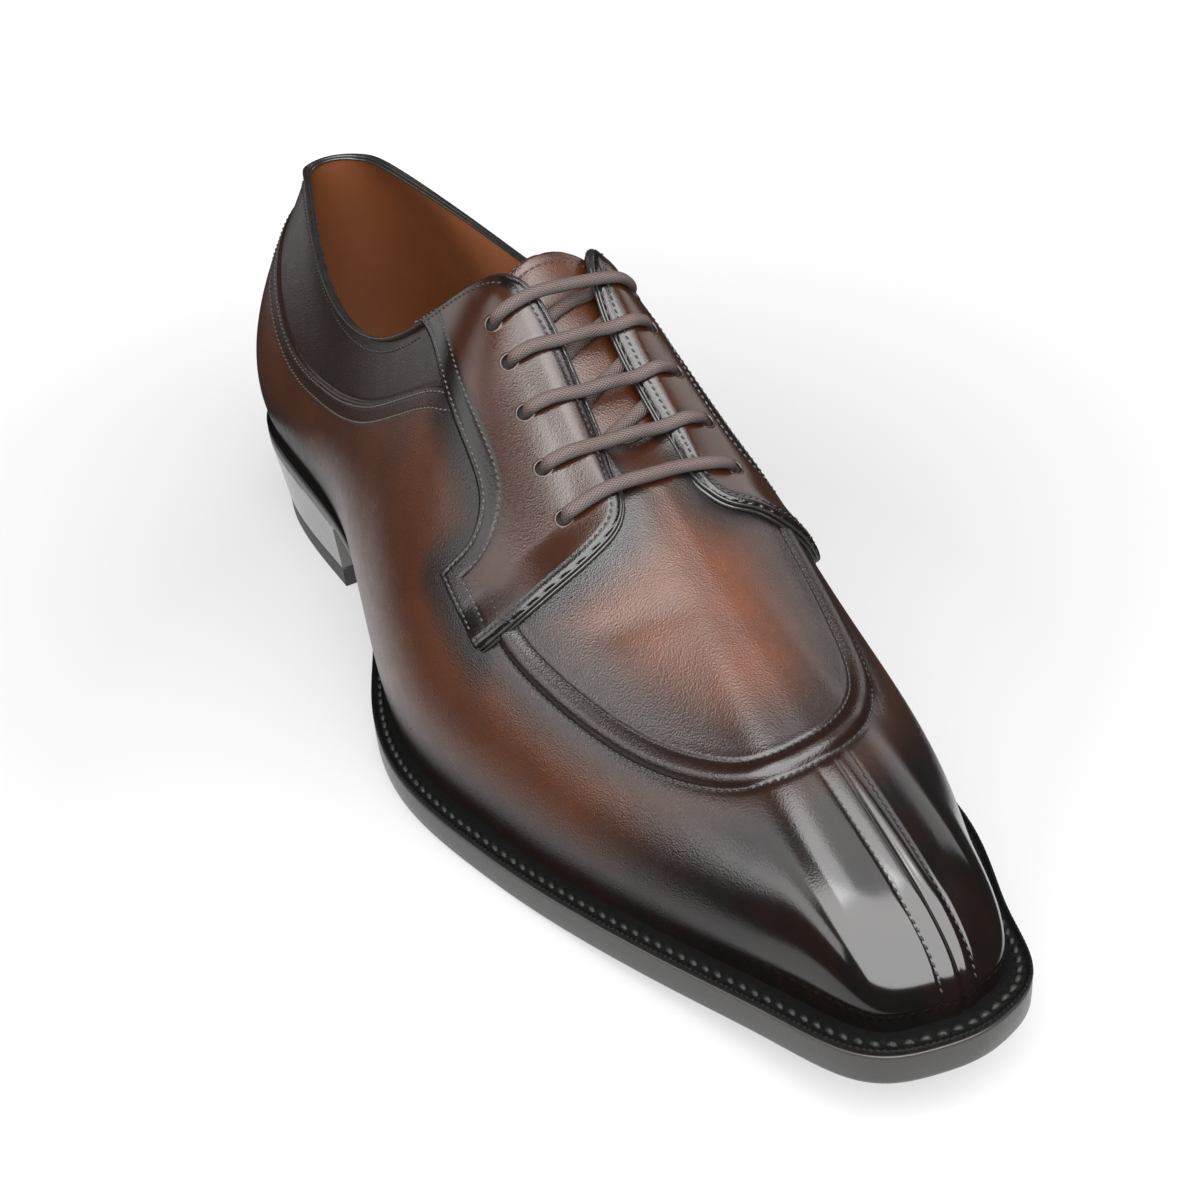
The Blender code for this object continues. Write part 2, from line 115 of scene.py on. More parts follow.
FRONT_MEDIAL = [(0.242, 1.0), (0.2708, 1.0), (0.2875, 1.0), (0.3069, 1.0), (0.3389, 1.0), (0.3800, 0.995),
                (0.3960, 0.970), (0.3849, 0.915), (0.356, 0.825), (0.3353, 0.702), (0.3220, 0.570),
                (0.3101, 0.441)]


def unit(vectors):
    return vectors / np.linalg.norm(vectors, axis=-1, keepdims=True)


def lifted(flat, z):
    """Flat points with their heights."""
    return np.concatenate([flat, z[..., None]], axis=-1)


def bridge(left, right, share):
    """Points across from one line to another, at shares of the way."""
    share = share[None, :, None]
    return left[:, None] * (1 - share) + right[:, None] * share


def loop_rows():
    """The stations' columns in the loop's order: the lateral side to the toe, then the medial side back."""
    rows = []
    for name, side, stations in (("lateral", -1, STATIONS), ("medial", 1, STATIONS[-2:0:-1])):
        for s in stations:
            rows.append([getattr(s, name + "_x"), getattr(s, name + "_y"),
                         s.top_x, THROAT_SHIFT + side * s.top_half, s.top_z,
                         s.low_out, s.low_up, s.high_out, s.high_down, getattr(s, "edge_" + name)])
    return np.array(rows, float)


def station_knots():
    """Loop positions of the stations, spaced by the square root of the mean chord of both sides."""
    sides = np.array([[(s.lateral_x, s.lateral_y), (s.medial_x, s.medial_y)] for s in STATIONS], float)
    chord = np.linalg.norm(np.diff(sides, axis=0), axis=-1).mean(axis=1)
    run = np.concatenate([[0], np.cumsum(np.sqrt(chord))])
    half = 0.5 * run / run[-1]
    return np.concatenate([half, 1 - half[-2::-1]])


def spline(knots, rows, closed=False):
    """A cubic curve through rows, closed or with free ends; gives a function of the knot value."""
    knots, rows = np.asarray(knots, float), np.asarray(rows, float)
    count, step = len(rows), np.diff(knots)
    left, right = np.zeros((count, count)), np.zeros_like(rows)
    for i in range(count):
        if not closed and i in (0, count - 1):
            left[i, i] = 1
            continue
        after = (i + 1) % count
        left[i, i - 1] += step[i - 1]
        left[i, i] += 2 * (step[i - 1] + step[i])
        left[i, after] += step[i]
        right[i] = 6 * ((rows[after] - rows[i]) / step[i] - (rows[i] - rows[i - 1]) / step[i - 1])
    bend = np.linalg.solve(left, right)

    def at(place):
        place = np.asarray(place, float) % 1.0 if closed else np.asarray(place, float)
        i = np.clip(np.searchsorted(knots, place, side="right") - 1, 0, len(step) - 1)
        j = (i + 1) % count
        a = ((knots[i + 1] - place) / step[i])[..., None]
        b = 1 - a
        curve = (a**3 - a) * bend[i] + (b**3 - b) * bend[j]
        return a * rows[i] + b * rows[j] + curve * (step[i] ** 2)[..., None] / 6
    return at


LOOP = spline(station_knots(), loop_rows(), closed=True)


def profile(x, column):
    """A column of the bottom's side view at x, with no overshoot, so the tread stays flat."""
    xs = np.array([p.x for p in BOTTOM], float)
    zs = np.array([getattr(p, column) for p in BOTTOM], float)
    step = np.diff(xs)
    slope = np.diff(zs) / step
    tangent = np.zeros_like(zs)
    tangent[0], tangent[-1] = slope[0], slope[-1]
    for i in range(1, len(xs) - 1):
        if slope[i - 1] * slope[i] > 0:
            tangent[i] = 2 * slope[i - 1] * slope[i] / (slope[i - 1] + slope[i])
    x = np.clip(x, xs[0], xs[-1])
    i = np.clip(np.searchsorted(xs, x, side="right") - 1, 0, len(xs) - 2)
    s = (x - xs[i]) / step[i]
    ends = (1 + 2 * s) * (1 - s)**2 * zs[i] + s * s * (3 - 2 * s) * zs[i + 1]
    return ends + step[i] * (s * (1 - s)**2 * tangent[i] + s * s * (s - 1) * tangent[i + 1])


def outward(u):
    """Level direction out of the loop."""
    nudge = 1e-4
    along = unit(LOOP(u + nudge)[..., :2] - LOOP(u - nudge)[..., :2])
    return np.stack([along[..., 1], -along[..., 0]], axis=-1)


def half_way(u):
    """Loop position folded on one side: 0 at the heel, 0.5 at the toe."""
    return np.minimum(u % 1, 1 - u % 1)


def skin(u, t):
    """The upper's outer face: loop position u, and t from the feather line (0) to the top line (1)."""
    row = LOOP(u)
    t = np.asarray(t, float)[..., None]
    foot, top = lifted(row[..., :2], profile(row[..., 0], "feather_z")), row[..., 2:5]
    low_out, low_up, high_out, high_down = np.split(row[..., 5:9], 4, axis=-1)
    lean = unit(foot[..., :2] - top[..., :2])
    low = foot + np.concatenate([outward(u) * low_out, low_up], axis=-1)
    high = top + np.concatenate([lean * high_out, -high_down], axis=-1)
    s = 1 - t
    return s**3 * foot + 3 * s * s * t * low + 3 * s * t * t * high + t**3 * top


def facing_out(u, t):
    """Outward direction of the upper's outer face."""
    nudge = 1e-3
    t = np.asarray(t, float)
    around = skin(u + nudge, t) - skin(u - nudge, t)
    rise = skin(u, np.minimum(t + nudge, 1)) - skin(u, np.maximum(np.minimum(t, 1) - nudge, 0))
    return unit(np.cross(around, rise))


def above(u, t, height):
    """A point at a height over the upper's outer face."""
    return skin(u, t) + np.asarray(height)[..., None] * facing_out(u, t)


def outline(u, reach):
    return LOOP(u)[..., :2] + outward(u) * np.broadcast_to(reach, np.shape(u))[..., None]


def sole_edge(u):
    return LOOP(u)[..., 9]


def outsole_bottom(x):
    return profile(x, "feather_z") - profile(x, "outsole") - profile(x, "welt") - 2 * GAP


def smooth(x, low, high):
    """A soft step from 0 at low to 1 at high; low may be the larger."""
    s = np.clip((np.asarray(x, float) - low) / (high - low), 0, 1)
    return s * s * (3 - 2 * s)


def bump(x, middle, half):
    """1 at the middle, falling smoothly to 0 at half on each side."""
    return smooth(half - np.abs(np.asarray(x, float) - middle), 0, half)


def rounded(far, radius):
    """Height of a round edge, from 0 on the edge to 1 at the radius."""
    return np.sqrt(1 - (1 - np.clip(far / radius, 0, 1))**2)


def run_of(points):
    """Length of a line from its start to each point."""
    return np.concatenate([[0], np.cumsum(np.linalg.norm(np.diff(points, axis=0), axis=1))])


def trace(control, mirrored=False, spacing=SPACING):
    """A smooth line on the upper through control rows of u and t, as evenly spaced u and t."""
    rows = np.array(control, float)
    if mirrored:
        rows[:, 0] = 1 - rows[:, 0]
    knots = run_of(skin(rows[:, 0], rows[:, 1]))
    fine = spline(knots, rows)(np.linspace(0, knots[-1], 60 * len(rows)))
    fine[:, 1] = np.clip(fine[:, 1], 0, 1)
    run = run_of(skin(fine[:, 0], fine[:, 1]))
    even = np.linspace(0, run[-1], max(2, int(round(run[-1] / spacing)) + 1))
    return np.interp(even, run, fine[:, 0]), np.interp(even, run, fine[:, 1])


def walk(u, t, across):
    """The line moved sideways over the upper by a distance, to the left of its run seen from outside."""
    longest_step, nudge = 0.8, 1e-3
    stages = max(1, int(np.ceil(abs(across) / longest_step)))
    for _ in range(stages):
        along = np.gradient(skin(u, t), axis=0)
        side = np.cross(facing_out(u, t), along)
        side *= across / stages / np.linalg.norm(side, axis=1)[:, None]
        by_u = (skin(u + nudge, t) - skin(u - nudge, t)) / (2 * nudge)
        low, high = np.maximum(t - nudge, 0), np.minimum(t + nudge, 1)
        by_t = (skin(u, high) - skin(u, low)) / (high - low)[:, None]
        uu, ut, tt = (by_u**2).sum(1), (by_u * by_t).sum(1), (by_t**2).sum(1)
        su, st = (by_u * side).sum(1), (by_t * side).sum(1)
        det = uu * tt - ut * ut
        u = u + (tt * su - ut * st) / det
        t = np.clip(t + (uu * st - ut * su) / det, 0, 1)
    return u, t


def nearest(points, line, chunk=4000):
    """Distance from each point to the nearest point of a line, and that point's number."""
    flat = points.reshape(-1, 3)
    far = np.empty(len(flat))
    which = np.empty(len(flat), int)
    for k in range(0, len(flat), chunk):
        d = ((flat[k:k + chunk, None] - line[None]) ** 2).sum(-1)
        which[k:k + chunk] = d.argmin(1)
        far[k:k + chunk] = np.sqrt(d.min(1))
    return far.reshape(points.shape[:-1]), which.reshape(points.shape[:-1])


# Meshes

def to_world(points):
    """Metres in the shared frame, from table millimetres."""
    return (np.asarray(points, float).reshape(-1, 3) - [BOX_MIDDLE_X, BOX_MIDDLE_Y, 0]) * MM


def make(name, points, faces, look, slot, fields=None, sharp=None):
    """A piece that rides on the shoe, from points in table millimetres."""
    mesh = bpy.data.meshes.new(name)
    place = to_world(points)
    faces = np.asarray(faces, int)
    mesh.vertices.add(len(place))
    mesh.vertices.foreach_set("co", place.ravel())
    size = faces.shape[1]
    mesh.loops.add(faces.size)
    mesh.loops.foreach_set("vertex_index", faces.ravel())
    mesh.polygons.add(len(faces))
    mesh.polygons.foreach_set("loop_start", np.arange(len(faces)) * size)
    mesh.polygons.foreach_set("loop_total", np.full(len(faces), size))
    mesh.update(calc_edges=True)
    mesh.validate()
    mesh.shade_smooth()
    if sharp:
        mesh.set_sharp_from_angle(angle=np.radians(sharp))
    for field, values in (fields or {}).items():
        made = mesh.attributes.new(field, "FLOAT", "POINT")
        made.data.foreach_set("value", np.asarray(values, float).ravel())
    mesh.materials.append(look)
    piece = bpy.data.objects.new(name, mesh)
    bpy.context.scene.collection.objects.link(piece)
    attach(piece, "root")
    return piece


def grid_faces(rows, columns, closed=False, flip=False, first=0):
    """Quads of a grid that is stored row by row."""
    r = np.arange(rows - 1)[:, None]
    c = np.arange(columns if closed else columns - 1)[None, :]
    n = (c + 1) % columns
    low, high = r * columns, (r + 1) * columns
    quads = np.stack(np.broadcast_arrays(low + c, low + n, high + n, high + c), axis=-1).reshape(-1, 4)
    return first + (quads[:, ::-1] if flip else quads)


def grid_rim(rows, columns):
    """Numbers of a grid's border points, in order round it."""
    return np.concatenate([np.arange(columns), np.arange(1, rows) * columns + columns - 1,
                           (rows - 1) * columns + np.arange(columns - 2, -1, -1),
                           np.arange(rows - 2, 0, -1) * columns])


def tube(path, wide, high, sides, normals, taper=1.0):
    """Points of rings round a path, with an oval section whose height lies along the normals."""
    along = unit(np.gradient(path, axis=0))
    across = unit(np.cross(along, normals))
    up = np.cross(across, along)
    angle = np.linspace(0, 2 * np.pi, sides, endpoint=False)
    ring = (across[:, None] * (np.cos(angle) * wide)[None, :, None]
            + up[:, None] * (np.sin(angle) * high)[None, :, None])
    return path[:, None] + ring * np.broadcast_to(taper, len(path))[:, None, None]


def tube_mesh(rings):
    """Points and quads of a tube that is closed at both ends."""
    sides = rings.shape[1]
    first, last = (np.repeat(ring.mean(0)[None, None], sides, 1) for ring in (rings[0], rings[-1]))
    closed = np.concatenate([first, rings, last])
    return closed.reshape(-1, 3), grid_faces(len(closed), sides, closed=True, flip=True)


def joined(parts):
    """Several (points, faces) as one."""
    points, faces, first = [], [], 0
    for p, f in parts:
        points.append(p.reshape(-1, 3))
        faces.append(f + first)
        first += len(points[-1])
    return np.concatenate(points), np.concatenate(faces)


# Shaders

class Graph:
    """A material's shader nodes, with short calls for the few kinds that are used here."""

    def __init__(self, name):
        self.material = bpy.data.materials.new(name)
        self.material.use_nodes = True
        self.nodes, self.links = self.material.node_tree.nodes, self.material.node_tree.links
        self.shader = self.nodes["Principled BSDF"]
        self.place = self.nodes.new("ShaderNodeTexCoord").outputs["Object"]

    def put(self, socket, value):
        """Links a node's output to a socket, or sets the socket to a number or a colour."""
        if isinstance(value, bpy.types.NodeSocket):
            self.links.new(value, socket)
        elif value is not None:
            socket.default_value = (*value, 1.0) if socket.type == "RGBA" else value

    def surface(self, **values):
        for title, value in values.items():
            self.put(self.shader.inputs[title.replace("_", " ")], value)

    def node(self, kind, settings, inputs):
        """A new node; inputs are sockets by name or number, with their values."""
        made = self.nodes.new("ShaderNode" + kind)
        for title, value in settings.items():
            setattr(made, title, value)
        for title, value in inputs.items():
            self.put(made.inputs[title], value)
        return made

    def noise(self, scale, detail, rough=0.5, distortion=0.0):
        inputs = {"Vector": self.place, "Scale": scale, "Detail": detail, "Roughness": rough,
                  "Distortion": distortion}
        return self.node("TexNoise", {}, inputs).outputs["Fac"]

    def field(self, title):
        return self.node("Attribute", {"attribute_name": title}, {}).outputs["Fac"]

    def math(self, kind, a, b=None, clamp=False):
        return self.node("Math", {"operation": kind, "use_clamp": clamp}, {0: a, 1: b}).outputs[0]

    def sway(self, value, amount):
        """A noise value turned into a change round 0."""
        return self.math("MULTIPLY", self.math("SUBTRACT", value, 0.5), amount)

    def mix(self, factor, a, b):
        return self.node("Mix", {"data_type": "RGBA"}, {0: factor, 6: a, 7: b}).outputs[2]

    def spread(self, value, low, high, to_low=0.0, to_high=1.0, kind="SMOOTHSTEP"):
        numbers = dict(enumerate((value, low, high, to_low, to_high)))
        return self.node("MapRange", {"interpolation_type": kind}, numbers).outputs[0]

    def relief(self, height, strength, distance=0.0003):
        made = self.node("Bump", {}, {"Height": height, "Strength": strength, "Distance": distance})
        self.surface(Normal=made.outputs["Normal"])


def leather_material(name, brown, deep, black, grain, base_rough, gloss_rough):
    """Hand-coloured leather: clouded brown, blackened by the dark field, which holds patina and some painted
    shade, and polished by the gloss field.
    """
    g = Graph(name)
    dark, gloss = g.field("dark"), g.field("gloss")
    clouds, mottle, streaks = g.noise(55.0, 4.0, 0.6, 0.4), g.noise(240.0, 2.0), g.noise(1900.0, 2.0)
    warm = g.mix(g.spread(clouds, 0.20, 0.80), deep, brown)
    warm = g.mix(g.spread(mottle, 0.30, 0.75, 0.0, 0.30), warm, deep)
    push = g.math("ADD", g.sway(clouds, 0.25), g.sway(mottle, 0.08))
    cover = g.math("ADD", dark, g.math("MULTIPLY", push, g.spread(dark, 0.05, 0.35)), clamp=True)
    rough = g.math("ADD", base_rough, g.sway(mottle, 0.14))
    rough = g.math("ADD", rough, g.sway(streaks, 0.06))
    unpolished = g.math("SUBTRACT", 1.0, gloss)
    rough = g.math("MULTIPLY", rough, unpolished)
    rough = g.math("ADD", rough, g.math("MULTIPLY", gloss, gloss_rough), clamp=True)
    pebbles = g.node("TexVoronoi", {}, {"Vector": g.place, "Scale": 2600.0}).outputs["Distance"]
    pores = g.math("ADD", g.math("MULTIPLY", pebbles, 0.8), g.math("MULTIPLY", streaks, 0.4))
    g.relief(pores, g.math("MULTIPLY", unpolished, grain))
    g.surface(Base_Color=g.mix(cover, warm, black), Roughness=rough)
    return g.material


def plain_material(name, colour, other, rough, scale, relief_scale, relief, coat=0.0, stretch=(1, 1, 1),
                   shine=0.5):
    """A surface that wavers between two colours, with a fine relief."""
    g = Graph(name)
    g.place = g.node("Mapping", {}, {"Vector": g.place, "Scale": stretch}).outputs["Vector"]
    clouds, fine = g.noise(scale, 5.0), g.noise(relief_scale, 4.0)
    wavers = 0.07
    g.relief(fine, relief)
    g.surface(Base_Color=g.mix(clouds, colour, other),
              Roughness=g.spread(fine, 0.3, 0.7, rough - wavers, rough + wavers, "LINEAR"),
              Coat_Weight=coat, Coat_Roughness=0.12, Specular_IOR_Level=shine)
    return g.material


def weave_material(name, colour, deep, strands, pitch, rough):
    """A braid: two families of strands that cross, from the run along the cord and the turn round it."""
    g = Graph(name)
    full = 2 * np.pi
    along = g.math("MULTIPLY", g.field("run"), full / pitch)
    around = g.math("MULTIPLY", g.field("turn"), full * strands)
    height = g.math("MAXIMUM", g.math("SINE", g.math("ADD", along, around)),
                    g.math("SINE", g.math("SUBTRACT", along, around)))
    # The strands darken into the dips between them: painted shade.
    strand = g.mix(g.math("ADD", g.math("MULTIPLY", height, 0.5), 0.5), deep, colour)
    # Painted shade: the cord's lower side, which faces the toe, darkens towards a deep shadow colour.
    flank = g.math("COSINE", g.math("MULTIPLY", g.field("turn"), full))
    shadow = g.spread(flank, 0.2, 0.95, 0.0, 0.8, "LINEAR")
    shadow_colour = tuple(0.4 * part for part in deep)
    g.relief(height, 0.7, 0.00012)
    g.surface(Base_Color=g.mix(shadow, strand, shadow_colour), Roughness=rough)
    return g.material


def grey(value):
    return (value, value, value)


UPPER = leather_material("upper leather", (0.066, 0.0175, 0.0052), (0.036, 0.0100, 0.0036),
                         (0.0022, 0.0019, 0.0018), grain=0.24, base_rough=0.30, gloss_rough=0.115)
# Plain looks: two colours, roughness, scale of the colour change, scale and strength of the relief
EDGE = plain_material("inked edge", grey(0.006), (0.016, 0.014, 0.013), 0.30, 300.0, 1600.0, 0.15, coat=0.3)
THREAD = plain_material("thread", grey(0.005), (0.012, 0.011, 0.010), 0.55, 900.0, 5000.0, 0.5)
# Lighter thread for the ledge's rows and the facings' back rows: a painted sheen on the same dark thread.
THREAD_PAINTED_SHEEN = plain_material("thread with painted sheen", (0.022, 0.019, 0.017), (0.046, 0.040, 0.036),
                             0.45, 900.0, 5000.0, 0.5)
WELT_THREAD = plain_material("welt thread", grey(0.004), (0.010, 0.010, 0.009), 0.42, 900.0, 3500.0, 0.6,
                             shine=0.22)
LINING = plain_material("lining leather", (0.12, 0.036, 0.010), (0.085, 0.025, 0.007),
                        0.50, 90.0, 2200.0, 0.25)
WELT_LOOK = plain_material("welt", grey(0.0020), (0.0045, 0.0045, 0.0043), 0.42, 500.0, 2500.0, 0.6, shine=0.06)
SOLE_LOOK = plain_material("sole edge", (0.017, 0.0165, 0.016), (0.023, 0.022, 0.021),
                           0.36, 160.0, 1800.0, 0.10, coat=0.10)
TREAD_LOOK = plain_material("tread leather", (0.080, 0.045, 0.026), (0.050, 0.027, 0.016),
                            0.45, 60.0, 900.0, 0.2)
# The heel stack's grey is lighter than its dark leather: partly its own colour, partly painted sheen on its
# side.
HEEL_LOOK = plain_material("heel stack", (0.065, 0.065, 0.063), (0.090, 0.088, 0.085),
                           0.28, 120.0, 1500.0, 0.12, coat=0.5, stretch=(1, 1, 6))
RUBBER_LOOK = plain_material("heel rubber", grey(0.012), grey(0.020), 0.60, 200.0, 2600.0, 0.3)
SEAM_LOOK = plain_material("sole seam", (0.075, 0.030, 0.018), (0.045, 0.018, 0.012), 0.45, 300.0, 2000.0, 0.2)
# Near-black painted shade for the inside of each lace hole.
HOLE_PAINTED_SHADE = plain_material("lace hole", grey(0.002), grey(0.004), 0.9, 300.0, 2000.0, 0.1)
LACE_LOOK = weave_material("lace braid", (0.066, 0.042, 0.037), (0.015, 0.009, 0.008),
                           strands=14, pitch=1.0, rough=0.5)

# Relief and shading of the upper's shell

ROW_NEAR, ROW_FAR = 1.3, 5.0            # the two stitch rows along an edge, measured from it
TROUGH, TROUGH_HALF = 0.07, 0.8         # depth and half width of the dent that a stitch row draws
PLUG_START, PLUG_END, PLUG_EASE = 0.318, 0.664, 0.012
LEDGE_END, LEDGE_EASE = 0.256, 0.006
BAND_SINK, LEDGE_DIP = 0.8, 0.15
STEP_START, STEP_END = -0.1, 0.35       # the ledge's step, by the distance inward
TOE_START, TOE_FULL = 5.0, 8.5          # where the toe's seam begins, by the distance from the plug line
LIPS_START, LIPS_FULL = 246.0, 292.0    # where the toe's centre seam opens into two lips
TUCK = 1.0              # how far the shell lies below the facings along the throat
TUCK_BACK, TUCK_FRONT, TUCK_TOP = (0.207, 0.217), (0.336, 0.326), (0.955, 0.985)
CLOSE_BELOW, CLOSE_ABOVE = 8.0, 3.6     # how far from the feature line the shell's rows lie close together
ROW_COUNTS = (29, 26, 12, 23)           # the shell's rows: low, close below the line, close above it, high
CREASE_DEEP, CREASE_HALF = 0.28, 5.0
# A soft crease across the plug, where the foot bends
CREASE = [(0.3440, 0.622), (0.3534, 0.646), (0.3694, 0.694), (0.3903, 0.759), (0.4421, 0.836),
          (0.4925, 0.846)]

# The line that the shell's rows follow: the ledge behind, the plug's stitch row in front
FEATURE_ROWS = LEDGE + PLUG_LATERAL + PLUG_MEDIAL + [(1 - u, t) for u, t in LEDGE[:0:-1]]
FEATURE = spline([u for u, _ in FEATURE_ROWS] + [1.0], [[t] for _, t in FEATURE_ROWS], closed=True)

# Section across the plug's seam: distance outward from the stitch row, and height
Section = namedtuple("Section", "out height")
ROLL = [Section(*row) for row in (
    (-3.4, 0.0), (-1.2, 0.02), (-0.5, -0.04), (0.0, -0.26), (0.45, -0.02), (1.1, 0.46), (2.0, 0.86),
    (2.9, 0.98), (3.7, 0.78), (4.5, 0.24), (5.1, -0.28), (5.6, -0.36), (6.5, -0.18), (7.6, -0.05), (9.0, 0.0))]
# Sections across the toe's centre seam, with lips and flat: distance to the medial side, and height
TOE = [Section(*row) for row in (
    (-6.5, 0.0), (-4.6, 0.0), (-4.0, -0.06), (-3.6, -0.17), (-3.2, -0.04), (-2.6, 0.16), (-1.6, 0.36),
    (-0.8, 0.46), (-0.25, 0.36), (0.15, -0.05), (0.5, -0.42), (0.9, -0.28), (1.5, 0.08), (2.3, 0.26),
    (3.0, 0.24), (3.5, 0.06), (3.85, -0.17), (4.3, -0.08), (5.0, 0.0), (6.5, 0.0))]
TOE_FLAT = [Section(*row) for row in (
    (-6.5, 0.0), (-4.3, -0.03), (-3.6, -0.12), (-2.8, 0.0), (2.8, 0.0), (3.7, -0.12), (4.4, -0.03),
    (6.5, 0.0))]

# Shades of the leather: how strong at most, and the measures where a shade has faded out and where it is full
Shade = namedtuple("Shade", "most none full")
WELT_SHADE = Shade(0.92, 25.0, 5.0)             # by the way up from the welt
BAND_SHADE = Shade(0.88, 1.0, -1.0)             # by the distance below the ledge
LEDGE_SHADE = Shade(0.86, 11.0, 2.0)
PLUG_INSIDE = Shade(0.88, 21.0, 2.0)            # by the distance from the plug's seam
PLUG_OUTSIDE = Shade(0.90, 20.0, 5.0)
# Along the facings' edges the shell darkens with patina, and beside their front edges with painted shadow of
# the facings standing off the vamp.
PANEL_PATINA_AND_SHADOW = Shade(0.95, 15.0, 1.5)            # by the distance from a facing's edge
# The vamp's end darkens the same way near the facings: patina and painted shadow.
TAB_PATINA_AND_SHADOW = Shade(0.95, 8.5, 0.5)
TOE_SHADE, TOE_LEAN = Shade(0.97, 188.0, 246.0), 0.7    # by the way forward, less a share of the way up
HEEL_SHADE = Shade(0.85, 48.0, 8.0)             # by the way forward
TOE_GLOSS = Shade(0.96, 236.0, 290.0)
# The crease's darkening is painted shade in the dent where the foot bends.
WALL_DARK, CREASE_PAINTED_SHADE, TAB_DARK = 0.36, 0.25, 0.60
FACING_BACK_SHADE = Shade(0.97, 11.0, 4.5)      # by the distance inward from an edge
FACING_FRONT_SHADE = Shade(0.97, 6.0, 1.5)
FACING_TOP_SHADE = Shade(0.80, 10.0, 1.0)
FACING_FOOT_SHADE = Shade(0.82, 68.0, 56.0)     # by height
FACING_DARK, FACING_GLOSS, RIM_DARK = 0.66, 0.50, 0.95
# The tongue's darkening away from its middle is painted shade where the facings cover it.
TONGUE_EDGE_SHADE, TONGUE_PAINTED_SHADE = Shade(0.55, 5.0, 0.5), Shade(0.8, 5.0, 9.0)
TONGUE_DARK, TONGUE_UNDER_DARK, TONGUE_GLOSS = 0.30, 0.2, 0.1
EYELET_DARK, EYELET_GLOSS = 0.7, 0.4


def shade(rule, measure):
    return rule.most * smooth(measure, rule.none, rule.full)


def feature_t(u):
    return FEATURE(u)[..., 0]


def section(rows, distance):
    """Height of a section at distances, 0 beyond its ends."""
    fine = np.linspace(rows[0].out, rows[-1].out, 400)
    line = spline([r.out for r in rows], [[r.height] for r in rows])(fine)[:, 0]
    return np.interp(distance, fine, line, left=0.0, right=0.0)


def crease(points):
    """How deep in the plug's crease each point lies, from 0 to 1."""
    line_u, line_t = trace(CREASE)
    far, which = nearest(points, skin(line_u, line_t))
    place = which / (len(line_u) - 1)
    return bump(far, 0.0, CREASE_HALF) * smooth(place, 0.0, 0.3) * smooth(place, 1.0, 0.6)


def shell_height(points, u, t):
    """Height of the shell's relief over the plain last, with the distance outward from the feature line
    and the loop position of the nearest place on it."""
    line_u = np.linspace(0, 1, 2400, endpoint=False)
    far, which = nearest(points, skin(line_u, feature_t(line_u)))
    distance = far * np.where(t < feature_t(u), 1.0, -1.0)
    near_u = line_u[which]
    seam = smooth(near_u, PLUG_START - PLUG_EASE, PLUG_START) * smooth(near_u, PLUG_END + PLUG_EASE, PLUG_END)
    rear = smooth(half_way(near_u), LEDGE_END + LEDGE_EASE, LEDGE_END)
    step = -BAND_SINK * smooth(-distance, STEP_START, STEP_END) - LEDGE_DIP * bump(distance, 0.0, 1.2)
    for row in (ROW_NEAR, ROW_FAR):
        step = step - TROUGH * bump(distance, row, TROUGH_HALF)
    aside = points[..., 1] - skin(np.full_like(t, 0.5), t)[..., 1]
    lips = smooth(points[..., 0], LIPS_START, LIPS_FULL)
    toe = section(TOE_FLAT, aside) * (1 - lips) + section(TOE, aside) * lips
    toe = toe * smooth(distance, TOE_START, TOE_FULL) * (np.abs(u - 0.5) < 0.2)
    half = half_way(u)
    tucked = smooth(half, *TUCK_BACK) * smooth(half, *TUCK_FRONT) * smooth(t, *TUCK_TOP)
    height = seam * section(ROLL, distance) + rear * step + toe - CREASE_DEEP * crease(points) - TUCK * tucked
    return height, distance, near_u


def shell_columns():
    """Loop positions of the shell's columns, closer together at the toe's centre seam."""
    toe, toe_half = 0.5, 0.024
    even = np.linspace(0, 1, 660, endpoint=False)
    even = even[np.abs(even - toe) > toe_half]
    close = np.linspace(toe - toe_half, toe + toe_half, 61)
    return np.sort(np.concatenate([even, close]))


def shell_rows(u):
    """Heights t of the shell's rows at each column; rows crowd along the feature line."""
    line = feature_t(u)
    nudge = 0.01
    speed = np.linalg.norm(skin(u, line + nudge) - skin(u, line - nudge), axis=-1) / (2 * nudge)
    low = line - np.minimum(CLOSE_BELOW / speed, line * 0.6)
    high = line + np.minimum(CLOSE_ABOVE / speed, (1 - line) * 0.7)
    stops = [np.zeros_like(line), low, line, high, np.ones_like(line)]
    parts = [a + (b - a) * np.arange(count)[:, None] / count
             for count, a, b in zip(ROW_COUNTS, stops, stops[1:])]
    return np.concatenate(parts + [stops[-1:]])


def facing_outline(side):
    """The facing's edges as traced lines: back, foot, front and top."""
    front = FRONT_MEDIAL if side > 0 else FRONT_LATERAL
    top = [(u, 1.0) for u in np.linspace(FACING_BACK[0][0], front[0][0], 6)]
    return [trace(line, side > 0) for line in (FACING_BACK, FACING_FOOT, front, top)]


EDGES = {side: np.concatenate([skin(*line) for line in facing_outline(side)]) for side in (-1, 1)}


